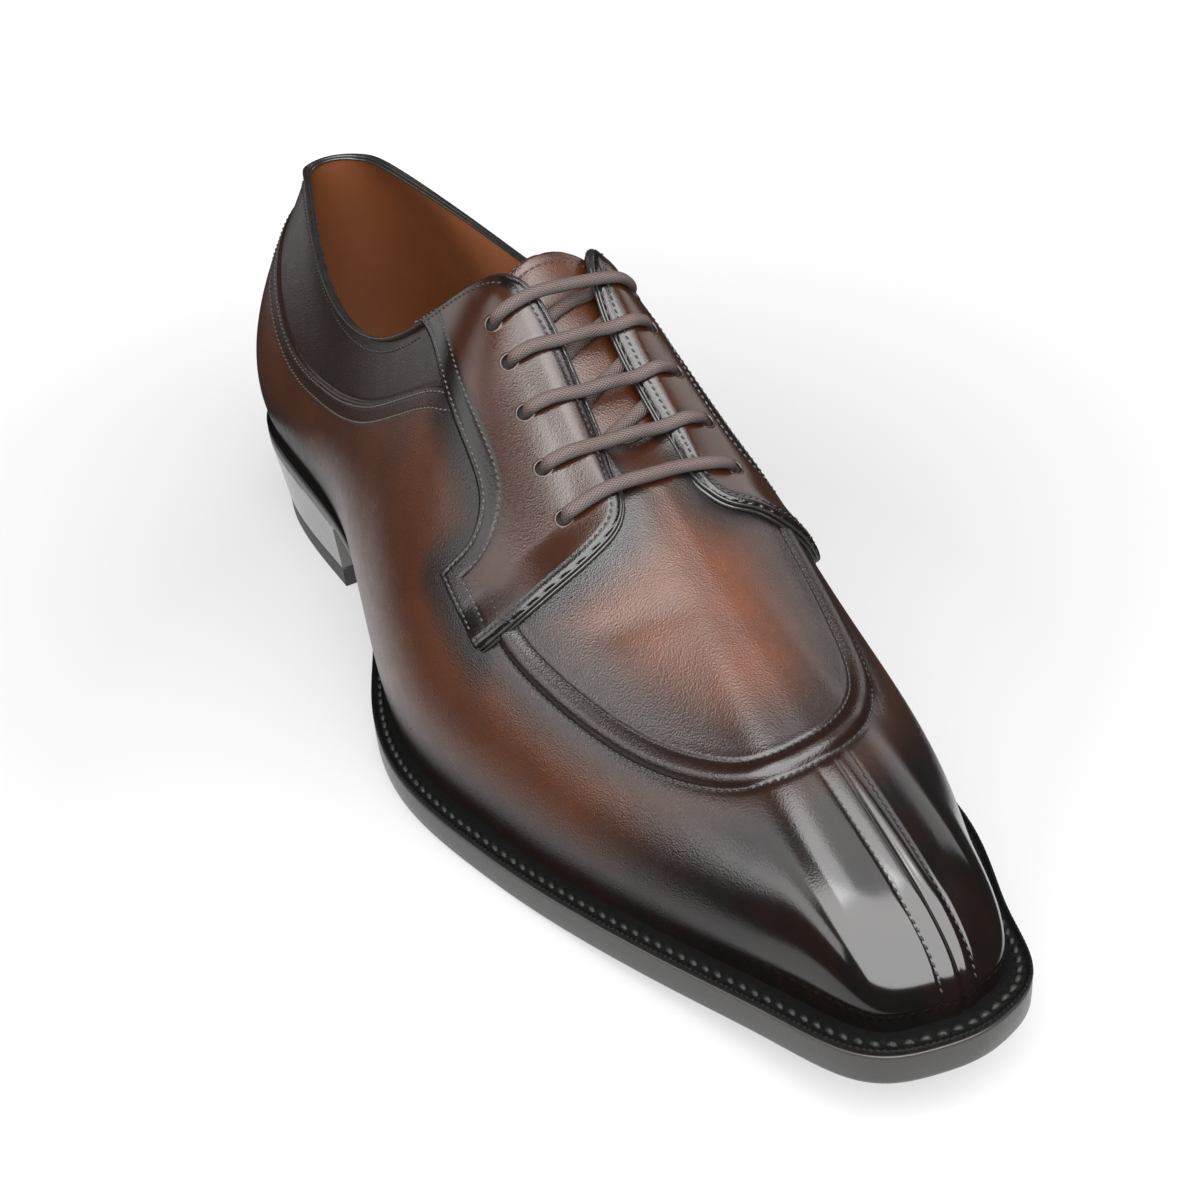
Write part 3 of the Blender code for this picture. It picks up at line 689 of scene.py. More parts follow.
def shell_fields(points, u, t, distance, near_u):
    """How dark and how glossy the shell is at each point."""
    x, y = points[..., 0], points[..., 1]
    rise = np.linalg.norm(points - skin(u, np.zeros_like(t)), axis=-1)
    rear = smooth(half_way(u), LEDGE_END + 0.01, LEDGE_END)
    seam = (near_u > PLUG_START - 0.02) & (near_u < PLUG_END + 0.02)
    inside = distance < 0
    layers = [
        shade(WELT_SHADE, rise),
        rear * shade(BAND_SHADE, distance),
        rear * shade(LEDGE_SHADE, distance),
        seam * np.where(inside, shade(PLUG_INSIDE, -distance), shade(PLUG_OUTSIDE, distance)),
        np.where(inside & seam, 0.0, WALL_DARK),
        shade(TOE_SHADE, x - TOE_LEAN * rise),
        shade(HEEL_SHADE, x),
        # painted shade in the plug's crease
        CREASE_PAINTED_SHADE * crease(points),
    ]
    past_throat = 20.0
    # patina near the facings' edges, with painted shadow of the facings on the vamp beside them
    for side in (-1, 1):
        far, _ = nearest(points, EDGES[side][::3])
        layers.append(shade(PANEL_PATINA_AND_SHADOW, far) * ((y - THROAT_SHIFT) * side > -past_throat))
    return np.max(layers, axis=0), shade(TOE_GLOSS, x)


TAB_END = 180.6         # where the vamp ends, sewn down on the tongue
TAB_ACROSS = 41
TAB_LIFT, TAB_END_RISE = 1.1, 4.0
TAB_EDGE = [(0.0, 0.0, 1.3), (0.25, 0.0, 0.6)]  # the rounded cut edge, how far back and down


def tab_rungs(u):
    """The vamp's end: rungs across the throat between partner columns, from its sewn end forward."""
    edge = skin(u, np.ones_like(u))
    front = int(np.argmin(np.abs(u - 0.5)))
    lateral = np.flatnonzero((edge[:, 0] >= TAB_END) & (u < u[front]) & (u > 0.3))
    medial = 2 * front - lateral
    long = edge[front, 0] - edge[lateral[0], 0]
    back = (edge[front, 0] - edge[lateral, 0]) / long
    last = skin(np.array([0.5, 0.5]), np.array([0.99, 1.0]))
    rise = (last[1, 2] - last[0, 2]) / (last[0, 0] - last[1, 0]) * long
    end_z = tongue_row(edge[lateral[:1], 0])[0, 0] + TAB_LIFT
    middle = ((2 * back**3 - 3 * back**2 + 1) * edge[front, 2] + (back**3 - 2 * back**2 + back) * rise
              + (3 * back**2 - 2 * back**3) * end_z + (back**3 - back**2) * TAB_END_RISE)
    share = np.linspace(-1, 1, TAB_ACROSS)
    rungs = bridge(edge[lateral], edge[medial], (1 + share) / 2)
    rungs[..., 2] += (middle - edge[lateral, 2])[:, None] * (1 - share**2)
    return rungs, lateral, medial, front


def tab_mesh(u, start, size):
    """Points of the vamp's end, and faces that join it to the shell's top row, which begins at start."""
    rungs, lateral, medial, front = tab_rungs(u)
    inner = rungs[:, 1:-1]
    numbers = np.empty(rungs.shape[:2], int)
    numbers[:, 0], numbers[:, -1] = start + lateral, start + medial
    numbers[:, 1:-1] = size + np.arange(inner[..., 0].size).reshape(inner.shape[:2])
    under = rungs[0] - np.array(TAB_EDGE)[:, None]
    below = size + inner[..., 0].size + np.arange(under[..., 0].size).reshape(under.shape[:2])
    numbers = np.concatenate([below, numbers])
    order = grid_faces(*numbers.shape, flip=True)
    fan = numbers[-1]
    close = np.stack([np.full(TAB_ACROSS // 2, start + front), fan[2::2], fan[1::2], fan[:-1:2]], axis=-1)
    points = np.concatenate([inner.reshape(-1, 3), under.reshape(-1, 3)])
    return points, np.concatenate([numbers.ravel()[order], close])


SEAM_DEEP = 0.9         # how far the upper's lower edge reaches down behind the welt's top


def make_shell():
    u = shell_columns()
    t = shell_rows(u)
    u_grid = np.broadcast_to(u, t.shape)
    base = skin(u_grid, t)
    height, distance, near_u = shell_height(base, u_grid, t)
    dark, gloss = shell_fields(base, u_grid, t, distance, near_u)
    points = base + height[..., None] * facing_out(u_grid, t)
    points[0, :, 2] -= SEAM_DEEP
    rows, columns = t.shape
    tab, tab_faces = tab_mesh(u, (rows - 1) * columns, rows * columns)
    # patina and painted shadow of the facings on the vamp's end
    far = np.minimum(nearest(tab, EDGES[-1])[0], nearest(tab, EDGES[1])[0])
    fields = {"dark": np.concatenate([dark.ravel(), np.maximum(TAB_DARK, shade(TAB_PATINA_AND_SHADOW, far))]),
              "gloss": np.concatenate([gloss.ravel(), np.zeros(len(tab))])}
    faces = np.concatenate([grid_faces(rows, columns, closed=True), tab_faces])
    points = np.concatenate([points.reshape(-1, 3), tab])
    shell = make("upper_shell", points, faces, UPPER, "upper_leather", fields)
    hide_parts("upper")
    inner_u, inner_t = np.broadcast_arrays(u[::3], np.linspace(0, 1, 60)[:, None])
    inner = above(inner_u, inner_t, -WALL)
    make("lining", inner, grid_faces(*inner_t.shape, closed=True, flip=True), LINING, "lining_leather")


def coons(back, foot, fore, top, down, across):
    """A grid of u and t between four edges."""
    def even(line, count):
        run = run_of(skin(*line))
        place = np.linspace(0, run[-1], count)
        return np.stack([np.interp(place, run, line[0]), np.interp(place, run, line[1])], axis=-1)
    left, right = even(back, down), even(fore, down)
    high, low = even(top, across), even(foot, across)
    a = np.linspace(0, 1, across)[None, :, None]
    d = np.linspace(0, 1, down)[:, None, None]
    ruled = (1 - a) * left[:, None] + a * right[:, None] + (1 - d) * high[None] + d * low[None]
    corners = ((1 - d) * ((1 - a) * high[0] + a * high[-1]) + d * ((1 - a) * low[0] + a * low[-1]))
    return ruled - corners


FACING_THICK = 1.1
FACING_DOWN, FACING_ACROSS = 230, 110
SKIRT_DEEP = 1.1        # how far the facing's sides reach down into the shell
EDGE_START, EDGE_ROUND = 0.45, 0.8      # height where the facing's rounded edge begins, and its radius
FRONT_ROW = 1.8         # the stitch row along the facing's front edge
FRONT_ROUND = {-1: 2.6, 1: 1.0}         # how far in the front edge rolls down
FRONT_DROP = 0.55
FRONT_LIFT = 1.2        # how far the front edge stands off the vamp
HOLE_RADIUS = 1.7
PAIRS = 5
Eyelets = namedtuple("Eyelets", "top_u low_u top_t low_t")
EYELETS = {-1: Eyelets(0.2510, 0.3277, 0.909, 0.806), 1: Eyelets(0.2454, 0.3239, 0.895, 0.803)}
# Radius and height of the loops of a lace hole's rim and of its well
EYELET_RIM = ((2.35, 0.95), (2.2, 1.12), (1.95, 1.24), (1.7, 1.2), (1.55, 1.0), (1.5, 0.7))
EYELET_WELL = ((1.52, 0.8), (1.5, 0.12), (0.02, 0.1))


def eyelet(pair, side):
    """Loop position and height of a lace hole; pair 0 is the top one."""
    e = EYELETS[side]
    share = pair / (PAIRS - 1)
    u = e.top_u + (e.low_u - e.top_u) * share
    return np.array([u if side < 0 else 1 - u]), np.array([e.top_t + (e.low_t - e.top_t) * share])


def open_holes(points, faces, side):
    """Takes the lace holes out of a facing and draws each hole's edge round."""
    for pair in range(PAIRS):
        u, t = eyelet(pair, side)
        centre, out = above(u, t, np.array([FACING_THICK]))[0], facing_out(u, t)[0]
        arm = points - centre
        arm = arm - (arm @ out)[:, None] * out
        far = np.linalg.norm(arm, axis=1) + 1e3 * (np.abs((points - centre) @ out) > 2.5)
        gone = far[faces].mean(1) < HOLE_RADIUS
        edge = np.intersect1d(np.unique(faces[gone]), np.unique(faces[~gone]))
        points[edge] += arm[edge] * (HOLE_RADIUS / far[edge] - 1)[:, None]
        faces = faces[~gone]
    return points, faces


def over_vamp(t):
    """1 where the facing lies over the vamp, 0 along the throat."""
    return smooth(t, 1.0, 0.93)


def facing_height(u, t, side):
    """The facing's height over the upper, and distances from its back, front and top edges."""
    base = skin(u, t)
    back, foot, fore, top = (skin(*line) for line in facing_outline(side))
    rear = np.concatenate([back, foot])
    back_far, front_far, top_far = (nearest(base, line)[0] for line in (rear, fore, top))
    far = np.minimum(np.minimum(back_far, front_far), top_far)
    height = EDGE_START + (FACING_THICK - EDGE_START) * rounded(far, EDGE_ROUND)
    for edge_far, row in ((back_far, ROW_NEAR), (back_far, ROW_FAR), (front_far, FRONT_ROW)):
        height = height - TROUGH * bump(edge_far, row, TROUGH_HALF)
    height = height - FRONT_DROP * (1 - rounded(front_far, FRONT_ROUND[side]))
    height = height + FRONT_LIFT * smooth(front_far, 10.0, 0.0) * over_vamp(t)
    return height, back_far, front_far, top_far


def make_facing(side):
    grid = coons(*facing_outline(side), FACING_DOWN, FACING_ACROSS)
    u, t = grid[..., 0], np.clip(grid[..., 1], 0, 1)
    height, back_far, front_far, top_far = facing_height(u, t, side)
    dark = np.max([shade(FACING_BACK_SHADE, back_far), shade(FACING_FRONT_SHADE, front_far),
                   shade(FACING_FOOT_SHADE, skin(u, t)[..., 2]), shade(FACING_TOP_SHADE, top_far),
                   np.full(u.shape, FACING_DARK)], axis=0)
    rim = grid_rim(*u.shape)
    flat = above(u, t, height).reshape(-1, 3)
    skirt = above(u, t, -SKIRT_DEEP).reshape(-1, 3)[rim]
    size = len(flat)
    below = size + np.arange(len(rim))
    sides = np.stack([rim, below, np.roll(below, -1), np.roll(rim, -1)], axis=-1)
    sides = sides[:, ::-1] if side > 0 else sides
    flat, faces = open_holes(flat, grid_faces(*u.shape, flip=side < 0), side)
    fields = {"dark": np.concatenate([dark.ravel(), np.full(len(rim), RIM_DARK)]),
              "gloss": np.full(size + len(rim), FACING_GLOSS)}
    make("facing_lateral" if side < 0 else "facing_medial", np.concatenate([flat, skirt]),
         np.concatenate([faces, sides]), UPPER, "upper_leather", fields, sharp=60)


# Folded edges: height and outward reach on the facing and on the collar, half sizes, and share of the lift
Fold = namedtuple("Fold", "height reach collar_height collar_reach wide high lifted")
# The third fold is the lining's edge along the throat; where the facing stands off the vamp it also fills the
# gap beneath as a black piece of painted shade.
FOLDS = [Fold(0.05, 0.05, -0.20, 0.0, 0.34, 0.42, 1.0), Fold(-0.75, 0.42, -0.95, 0.12, 0.42, 0.44, 0.9),
         Fold(-1.5, 0.12, -1.75, -0.2, 0.44, 0.55, 0.75)]
CORNER_ROLL = Fold(-0.55, -0.1, -0.55, -0.1, 1.15, 1.35, 0.0)
CORNER_U, CORNER_HALF = 0.232, 0.036
FACED_START, FACED_END = 0.188, 0.208   # where the collar's edge becomes the facing's
EDGE_TAPER, EDGE_SIDES = 3.0, 10


def make_edges():
    """Folded edges round the collar and down each facing's front, with a roll at the throat's rear corners; the
    lowest edge also stands as painted shade under the lifted front edge.
    """
    sides = {side: facing_outline(side) for side in (-1, 1)}
    collar = np.linspace(FACING_BACK[0][0], -FACING_BACK[0][0], 640)[1:-1]
    _, _, fore, top = sides[-1]
    line_u = [fore[0][:0:-1], top[0][::-1], collar]
    line_t = [fore[1][:0:-1], top[1][::-1], np.ones_like(collar)]
    _, _, fore, top = sides[1]
    line_u = np.concatenate(line_u + [top[0] - 1, fore[0][1:] - 1])
    line_t = np.concatenate(line_t + [top[1], fore[1][1:]])
    normals = facing_out(line_u, line_t)
    edge = skin(line_u, line_t)
    out = -unit(np.cross(normals, np.gradient(edge, axis=0)))
    for _ in range(8):
        out[1:-1] = (out[:-2] + 2 * out[1:-1] + out[2:]) / 4
    run = run_of(edge)
    taper = np.sqrt(np.clip(np.minimum(run, run[-1] - run) / EDGE_TAPER, 0.04, 1))
    half = half_way(line_u)
    faced = smooth(half, FACED_START, FACED_END)
    corner = bump(half, CORNER_U, CORNER_HALF) * (line_t > 0.999)
    parts = []

    def lay(fold, shrink, keep):
        height = fold.collar_height + faced * (fold.height - fold.collar_height)
        height = height + fold.lifted * FRONT_LIFT * over_vamp(line_t)
        reach = fold.collar_reach + faced * (fold.reach - fold.collar_reach)
        path = edge + height[:, None] * normals + reach[:, None] * out
        rings = tube(path[keep], fold.wide, fold.high, EDGE_SIDES, normals[keep], shrink[keep])
        parts.append(tube_mesh(rings))
    for fold in FOLDS:
        lay(fold, taper, np.ones(len(edge), bool))
    for first, last in ((line_u > 0, line_u < 0.5), (line_u < 0, line_u > -0.5)):
        lay(CORNER_ROLL, np.sqrt(corner), first & last & (corner > 0.02))
    make("edges", *joined(parts), EDGE, "upper_leather")


def make_eyelets():
    """A pressed rim for each lace hole, and a near-black well of painted shade inside it."""
    rims, wells = [], []
    turn = np.linspace(0, 2 * np.pi, 36, endpoint=False)
    for side in (-1, 1):
        for pair in range(PAIRS):
            u, t = eyelet(pair, side)
            centre, out = skin(u, t)[0], facing_out(u, t)[0]
            first = unit(np.cross(out, [1.0, 0, 0]))
            spoke = np.cos(turn)[:, None] * first + np.sin(turn)[:, None] * np.cross(out, first)
            for parts, rows in ((rims, EYELET_RIM), (wells, EYELET_WELL)):
                loops = np.array([centre + radius * spoke + height * out for radius, height in rows])
                parts.append((loops, grid_faces(*loops.shape[:2], closed=True)))
    points, faces = joined(rims)
    make("eyelet_rims", points, faces, UPPER, "upper_leather",
         {"dark": np.full(len(points), EYELET_DARK), "gloss": np.full(len(points), EYELET_GLOSS)})
    make("eyelet_wells", *joined(wells), HOLE_PAINTED_SHADE, "upper_leather")


STITCH_PITCH, STITCH_LONG, STITCH_RADIUS, STITCH_SLANT = 1.6, 1.2, 0.24, 14.0


def stitch_row(points, normals, pitch=STITCH_PITCH, length=STITCH_LONG, radius=STITCH_RADIUS,
               slant=STITCH_SLANT):
    """Single stitches along a line, each a short thread that dips in at both ends."""
    run = run_of(points)
    place = (np.arange(int(run[-1] / pitch)) + 0.5) * pitch

    def at(rows):
        return np.stack([np.interp(place, run, rows[:, k]) for k in range(3)], axis=-1)
    centre, up = at(points), at(normals)
    along, up = unit(at(np.gradient(points, axis=0))), unit(up)
    aside = np.cross(up, along)
    turn = np.radians(slant)
    along, aside = np.cos(turn) * along + np.sin(turn) * aside, np.cos(turn) * aside - np.sin(turn) * along
    share = np.array([-1.0, -0.85, -0.45, 0.0, 0.45, 0.85, 1.0])
    thick = np.array([0.0, 0.65, 0.95, 1.0, 0.95, 0.65, 0.0]) * radius
    angle = np.linspace(0, 2 * np.pi, 6, endpoint=False)
    dip = -0.9 * radius * share**2
    body = (centre[:, None, None] + along[:, None, None] * (share * length / 2)[None, :, None, None]
            + aside[:, None, None] * (thick[:, None] * np.cos(angle))[None, :, :, None]
            + up[:, None, None] * (thick[:, None] * np.sin(angle) + dip[:, None])[None, :, :, None])
    faces = grid_faces(len(share), len(angle), closed=True, flip=True)
    size = len(share) * len(angle)
    faces = (faces[None] + (np.arange(len(place)) * size)[:, None, None]).reshape(-1, 4)
    return body.reshape(-1, 3), faces


def row_on_shell(u, t, lift=0.1):
    base, normals = skin(u, t), facing_out(u, t)
    height, _, _ = shell_height(base, u, t)
    return stitch_row(base + (height + lift)[:, None] * normals, normals)


def row_on_facing(u, t, side, lift=0.05):
    normals = facing_out(u, t)
    height = facing_height(u, t, side)[0]
    return stitch_row(skin(u, t) + (height + lift)[:, None] * normals, normals)


def feature_line(first, last, count):
    u = np.linspace(first, last, count)
    return trace(list(zip(u, feature_t(u))))


COLLAR_ROW = 3.0        # the stitch row below the collar's edge
OUTER_ROW = 5.4         # the stitch row outside the plug's rolled ridge
TOE_ROWS = (3.6, -3.85)                 # the stitch rows beside the toe's centre seam
TOE_SEAM = [(0.5, 0.075), (0.5, 0.2), (0.5, 0.35), (0.5, 0.545)]


def make_stitches():
    pale, dim = [], []
    line = feature_line(-LEDGE_END, LEDGE_END, 90)
    for far in (ROW_NEAR, ROW_FAR):
        pale.append(row_on_shell(*walk(*line, -far)))
    collar = [(u, 1.0) for u in np.linspace(-FACING_BACK[0][0], FACING_BACK[0][0], 40)]
    dim.append(row_on_shell(*walk(*trace(collar), -COLLAR_ROW)))
    line = feature_line(PLUG_START, PLUG_END, 60)
    dim.append(row_on_shell(*line, lift=0.16))
    dim.append(row_on_shell(*walk(*line, -OUTER_ROW), lift=0.14))
    for aside in TOE_ROWS:
        dim.append(row_on_shell(*walk(*trace(TOE_SEAM), aside)))
    for side in (-1, 1):
        back, foot, fore, top = facing_outline(side)
        for far in (ROW_NEAR, ROW_FAR):
            pale.append(row_on_facing(*trim(walk(*back, -side * far), 1.0, far), side))
            pale.append(row_on_facing(*trim(walk(*foot, -side * far), far, 2.5), side))
        dim.append(row_on_facing(*trim(walk(*fore, side * FRONT_ROW), 1.0, 2.5), side))
        dim.append(row_on_facing(*trim(walk(*top, side * FRONT_ROW), 3.0, 0.5), side))
        dim += bar_tack(side)
    # the lighter rows carry a painted sheen
    make("stitches_painted_sheen", *joined(pale), THREAD_PAINTED_SHEEN, "upper_leather")
    make("stitches_dark", *joined(dim), THREAD, "upper_leather")


def trim(line, start, end):
    """A traced line without its first and last stretch."""
    u, t = line
    run = run_of(skin(u, t))
    keep = (run >= start) & (run <= run[-1] - end)
    return u[keep], t[keep]


TACK_FIRST, TACK_LAST, TACK_HALF = (0.3103, 0.563), (0.3187, 0.548), 0.9


def bar_tack(side):
    """The small closed box of stitches near the facing's foot."""
    line = trace([TACK_FIRST, TACK_LAST], side > 0, 0.4)
    near, far = walk(*line, -TACK_HALF), walk(*line, TACK_HALF)
    box = [row_on_facing(*near, side), row_on_facing(*far, side)]
    for end in (0, -1):
        u = np.linspace(near[0][end], far[0][end], 5)
        t = np.linspace(near[1][end], far[1][end], 5)
        box.append(row_on_facing(u, t, side))
    return box


# Throat: the vamp's end, the tongue and the lace

def tongue_row(x):
    """Middle height and sideways bends of the tongue at x."""
    table = TONGUE[::-1]
    rows = [[r.middle_z, r.lateral_drop / r.lateral_half**2, r.medial_drop / r.medial_half**2] for r in table]
    return spline([r.x for r in table], rows)(x)


def tongue_top(x, y):
    row = tongue_row(x)
    bend = np.where(y < THROAT_SHIFT, row[..., 1], row[..., 2] * (1 - TIP_EASE * smooth(x, 160.0, 150.0)))
    return row[..., 0] - bend * (y - THROAT_SHIFT)**2


VAMP_ROW = 1.6          # the stitch row in front of the vamp's end


def make_vamp_stitches():
    """The row that sews the vamp's end down on the tongue."""
    rungs = tab_rungs(shell_columns())[0]
    row = rungs[np.argmin(np.abs(rungs[:, 0, 0] - TAB_END - VAMP_ROW))]
    y = np.linspace(-3.0, 15.0, 60)
    line = np.stack([np.full(len(y), row[0, 0]), y, np.interp(y, row[:, 1], row[:, 2]) + 0.1], axis=-1)
    normals = np.tile([0.35, 0.0, 0.94], (len(y), 1))
    make("stitches_vamp_end", *stitch_row(line, normals), THREAD, "upper_leather")


TONGUE_ROWS, TIP_ROWS, TONGUE_ACROSS = 60, 36, 61
TIP_START, TIP_LONG = 154.0, 10.8
TIP_LATERAL, TIP_MEDIAL = 19.4, 15.4
TIP_ROUND = 0.58        # smaller is squarer
TIP_EASE = 0.45         # share of the medial bend that is taken out at the tip
TONGUE_THICK = 1.8
TONGUE_ROW = 2.4        # the stitch row along the tongue's edge


def make_tongue():
    turn = np.pi / 2 * (1 - np.linspace(1, 0, TIP_ROWS)[1:-1]**2.5)
    straight = np.linspace(TONGUE[0].x, TIP_START, TONGUE_ROWS)
    x = np.concatenate([straight, TIP_START - TIP_LONG * np.sin(turn)**TIP_ROUND])
    shrink = np.concatenate([np.ones(TONGUE_ROWS), np.cos(turn)**TIP_ROUND])
    table = TONGUE[::-1]
    knots = [r.x for r in table]
    wide = np.where(x > TIP_START, np.interp(x, knots, [r.lateral_half for r in table]), TIP_LATERAL * shrink)
    narrow = np.where(x > TIP_START, np.interp(x, knots, [r.medial_half for r in table]), TIP_MEDIAL * shrink)
    share = np.sin(np.linspace(-np.pi / 2, np.pi / 2, TONGUE_ACROSS))
    y = THROAT_SHIFT + np.where(share < 0, share * wide[:, None], share * narrow[:, None])
    xx = np.broadcast_to(x[:, None], y.shape)
    points = np.stack([xx, y, tongue_top(xx, y)], axis=-1)
    border = np.concatenate([points[:, 0], points[-1], points[::-1, -1]])
    far, _ = nearest(points, border)
    ease = 1 - rounded(far, 1.0)
    upper_face, lower_face = points.copy(), points.copy()
    upper_face[..., 2] -= 0.8 * ease + 0.14 * bump(far, TONGUE_ROW, 0.9)
    lower_face[..., 2] -= TONGUE_THICK - 0.6 * ease
    size = y.size
    rim = grid_rim(*y.shape)
    after = np.roll(rim, -1)
    sides = np.stack([after, rim, size + rim, size + after], axis=-1)
    faces = np.concatenate([grid_faces(*y.shape), grid_faces(*y.shape, flip=True, first=size), sides])
    dark = np.maximum(shade(TONGUE_EDGE_SHADE, far), TONGUE_DARK)
    # painted shade on the tongue's sides, under the facings
    dark = np.maximum(dark, shade(TONGUE_PAINTED_SHADE, np.abs(y - THROAT_SHIFT)) * (xx > 150))
    both = np.concatenate([dark.ravel(), np.full(size, TONGUE_UNDER_DARK)])
    tongue = make("tongue_leaf", np.concatenate([upper_face, lower_face]), faces, UPPER, "upper_leather",
                  {"dark": both, "gloss": np.full(2 * size, TONGUE_GLOSS)}, sharp=70)
    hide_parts("tongue")
    turn = np.linspace(0.12, np.pi - 0.12, 160)
    half = np.where(turn < np.pi / 2, TIP_LATERAL, TIP_MEDIAL) - TONGUE_ROW
    line_x = TIP_START - (TIP_LONG - TONGUE_ROW) * np.sin(turn)**TIP_ROUND
    line_y = THROAT_SHIFT - half * np.sign(np.cos(turn)) * np.abs(np.cos(turn))**TIP_ROUND
    step = 0.05
    slope_x = (tongue_top(line_x + step, line_y) - tongue_top(line_x - step, line_y)) / (2 * step)
    slope_y = (tongue_top(line_x, line_y + step) - tongue_top(line_x, line_y - step)) / (2 * step)
    normals = unit(np.stack([-slope_x, -slope_y, np.ones_like(slope_x)], axis=-1))
    line = np.stack([line_x, line_y, tongue_top(line_x, line_y)], axis=-1)
    make("stitches_tongue", *stitch_row(line, normals), THREAD, "upper_leather")


LACE_WIDE, LACE_HIGH = 1.60, 0.95
PASS_HIGH = 0.85
LACE_CROWN = 0.35
LACE_SAG = {-1: 0.004, 1: 0.0015}        # how far towards the toe a bar has slipped at the throat
LOW_CROSSING = {-1: 0.948, 1: 0.996}    # height where the lowest bar leaves a facing; the others at the top
PASS_LOW, PASS_HIGH_END = 0.9, 0.15     # where a pass starts and ends, in hole pairs below the upper one
PASS_T, PASS_DEEP = 0.955, 2.6          # its ends under the facings
LACE_STEP = 0.3
LACE_SIDES = 24


def smooth_path(rows, spacing):
    """An evenly spaced smooth line through rows."""
    knots = run_of(rows)
    fine = spline(knots, rows)(np.linspace(0, knots[-1], 400))
    run = run_of(fine)
    even = np.linspace(0, run[-1], int(run[-1] / spacing))
    return np.stack([np.interp(even, run, fine[:, k]) for k in range(3)], axis=-1)


def lace_normals(path):
    """Upward directions across the instep, which lean outward on both sides."""
    lean = 0.55 * (path[:, 1] - THROAT_SHIFT) / 16.0
    return unit(np.stack([np.full(len(path), 0.5), lean, np.full(len(path), 0.8)], axis=-1))


def cord(path, high):
    """A flat oval cord along a path, with the run and the turn round it that its weave follows."""
    rings = tube(path, LACE_WIDE, high, LACE_SIDES, lace_normals(path))
    rings = np.concatenate([rings, rings[:, :1]], axis=1)
    run = np.broadcast_to(run_of(path)[:, None], rings.shape[:2])
    turn = np.broadcast_to(np.linspace(0, 1, LACE_SIDES + 1), rings.shape[:2])
    return rings.reshape(-1, 3), grid_faces(*rings.shape[:2], flip=True), run.ravel(), turn.ravel()


def bar_half(pair, side):
    """A bar from its hole to the facing's front edge, in the upright plane through the pair's holes."""
    (u,), (t,) = eyelet(pair, side)
    (far_u,), (far_t,) = eyelet(pair, -side)
    here = skin(np.array([u]), np.array([t]))[0]
    along = (skin(np.array([far_u]), np.array([far_t]))[0] - here)[:2]
    edge_t = LOW_CROSSING[side] if pair == PAIRS - 1 else 1.0
    tries = u - side * np.linspace(-0.03, 0.13, 800)

    def place(share):
        level = t + (edge_t - t) * share
        aside = skin(tries, np.full(len(tries), level))[:, :2] - here[:2]
        found = tries[np.argmin(np.abs(aside[:, 0] * along[1] - aside[:, 1] * along[0]))]
        return found - side * LACE_SAG[side] * share * (pair < PAIRS - 1), level
    lift = FACING_THICK + LACE_HIGH
    edge_u, _ = place(1.0)
    long = np.linalg.norm(skin(np.array([edge_u]), np.array([edge_t]))[0] - here)
    rows = []
    for far, height in ((0.0, -0.9), (0.5, 0.55), (1.5, lift - 0.25), (2.6, lift), (long / 2, lift),
                        (long, lift - 0.35)):
        at_u, at_t = (np.array([value]) for value in place(far / long))
        rows.append(above(at_u, at_t, height + FRONT_LIFT * over_vamp(at_t) * far / long)[0])
    return rows


def make_lace():
    parts = []
    for pair in range(PAIRS):
        halves = {side: bar_half(pair, side) for side in (-1, 1)}
        middle = (halves[-1][-1] + halves[1][-1]) / 2 + [0.2, 0, LACE_CROWN]
        parts.append(cord(smooth_path(halves[-1] + [middle] + halves[1][::-1], LACE_STEP), LACE_HIGH))
    for pair in range(PAIRS - 1):
        ends = [above(eyelet(pair + down, side)[0], np.array([PASS_T]), -PASS_DEEP)
                for down, side in ((PASS_LOW, -1), (PASS_HIGH_END, 1))]
        rows = bridge(*ends, np.linspace(0, 1, 7))[0]
        rows[:, 2] = np.maximum(rows[:, 2], tongue_top(rows[:, 0], rows[:, 1]) + PASS_HIGH)
        parts.append(cord(smooth_path(rows, LACE_STEP), PASS_HIGH))
    points, faces = joined([part[:2] for part in parts])
    fields = {name: np.concatenate([part[k] for part in parts]) for k, name in ((2, "run"), (3, "turn"))}
    lace = make("lace", points, faces, LACE_LOOK, "lace_cord", fields)
    bars = [f"lace_bar_{k + 1}" for k in range(PAIRS)]
    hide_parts(*bars, *[f"lace_pass_{k + 1}" for k in range(PAIRS - 1)])


# Bottom

def loop_positions(count):
    """Loop positions spaced evenly along the sole's edge."""
    u = np.linspace(0, 1, 4001)
    edge = outline(u, sole_edge(u))
    run = run_of(edge)
    even = np.linspace(0, run[-1], count, endpoint=False)
    return np.interp(even, run, u), even


def edge_ring(u, rows):
    """Loops of points from (reach from the sole's edge, height function of x)."""
    loops = []
    for reach, height in rows:
        flat = outline(u, sole_edge(u) + reach)
        loops.append(lifted(flat, height(flat[:, 0])))
    return np.array(loops)


def ladder(u, reach, height, across):
    """A sheet inside a loop: rungs from each lateral place to its medial partner."""
    left = outline(u, sole_edge(u) + reach)
    right = outline(1 - u, sole_edge(1 - u) + reach)
    flat = bridge(left, right, np.linspace(0, 1, across))
    return lifted(flat, height(flat[..., 0]))


BEAD = 0.85             # height of the welt's bead over the line below it
WELT_DROP = 0.35        # how far the welt's worn top lies under its solid's


def welt_top(x):
    return profile(x, "feather_z") - GAP - WELT_DROP


def over(base, by):
    """A height function moved up."""
    return lambda x: base(x) + by


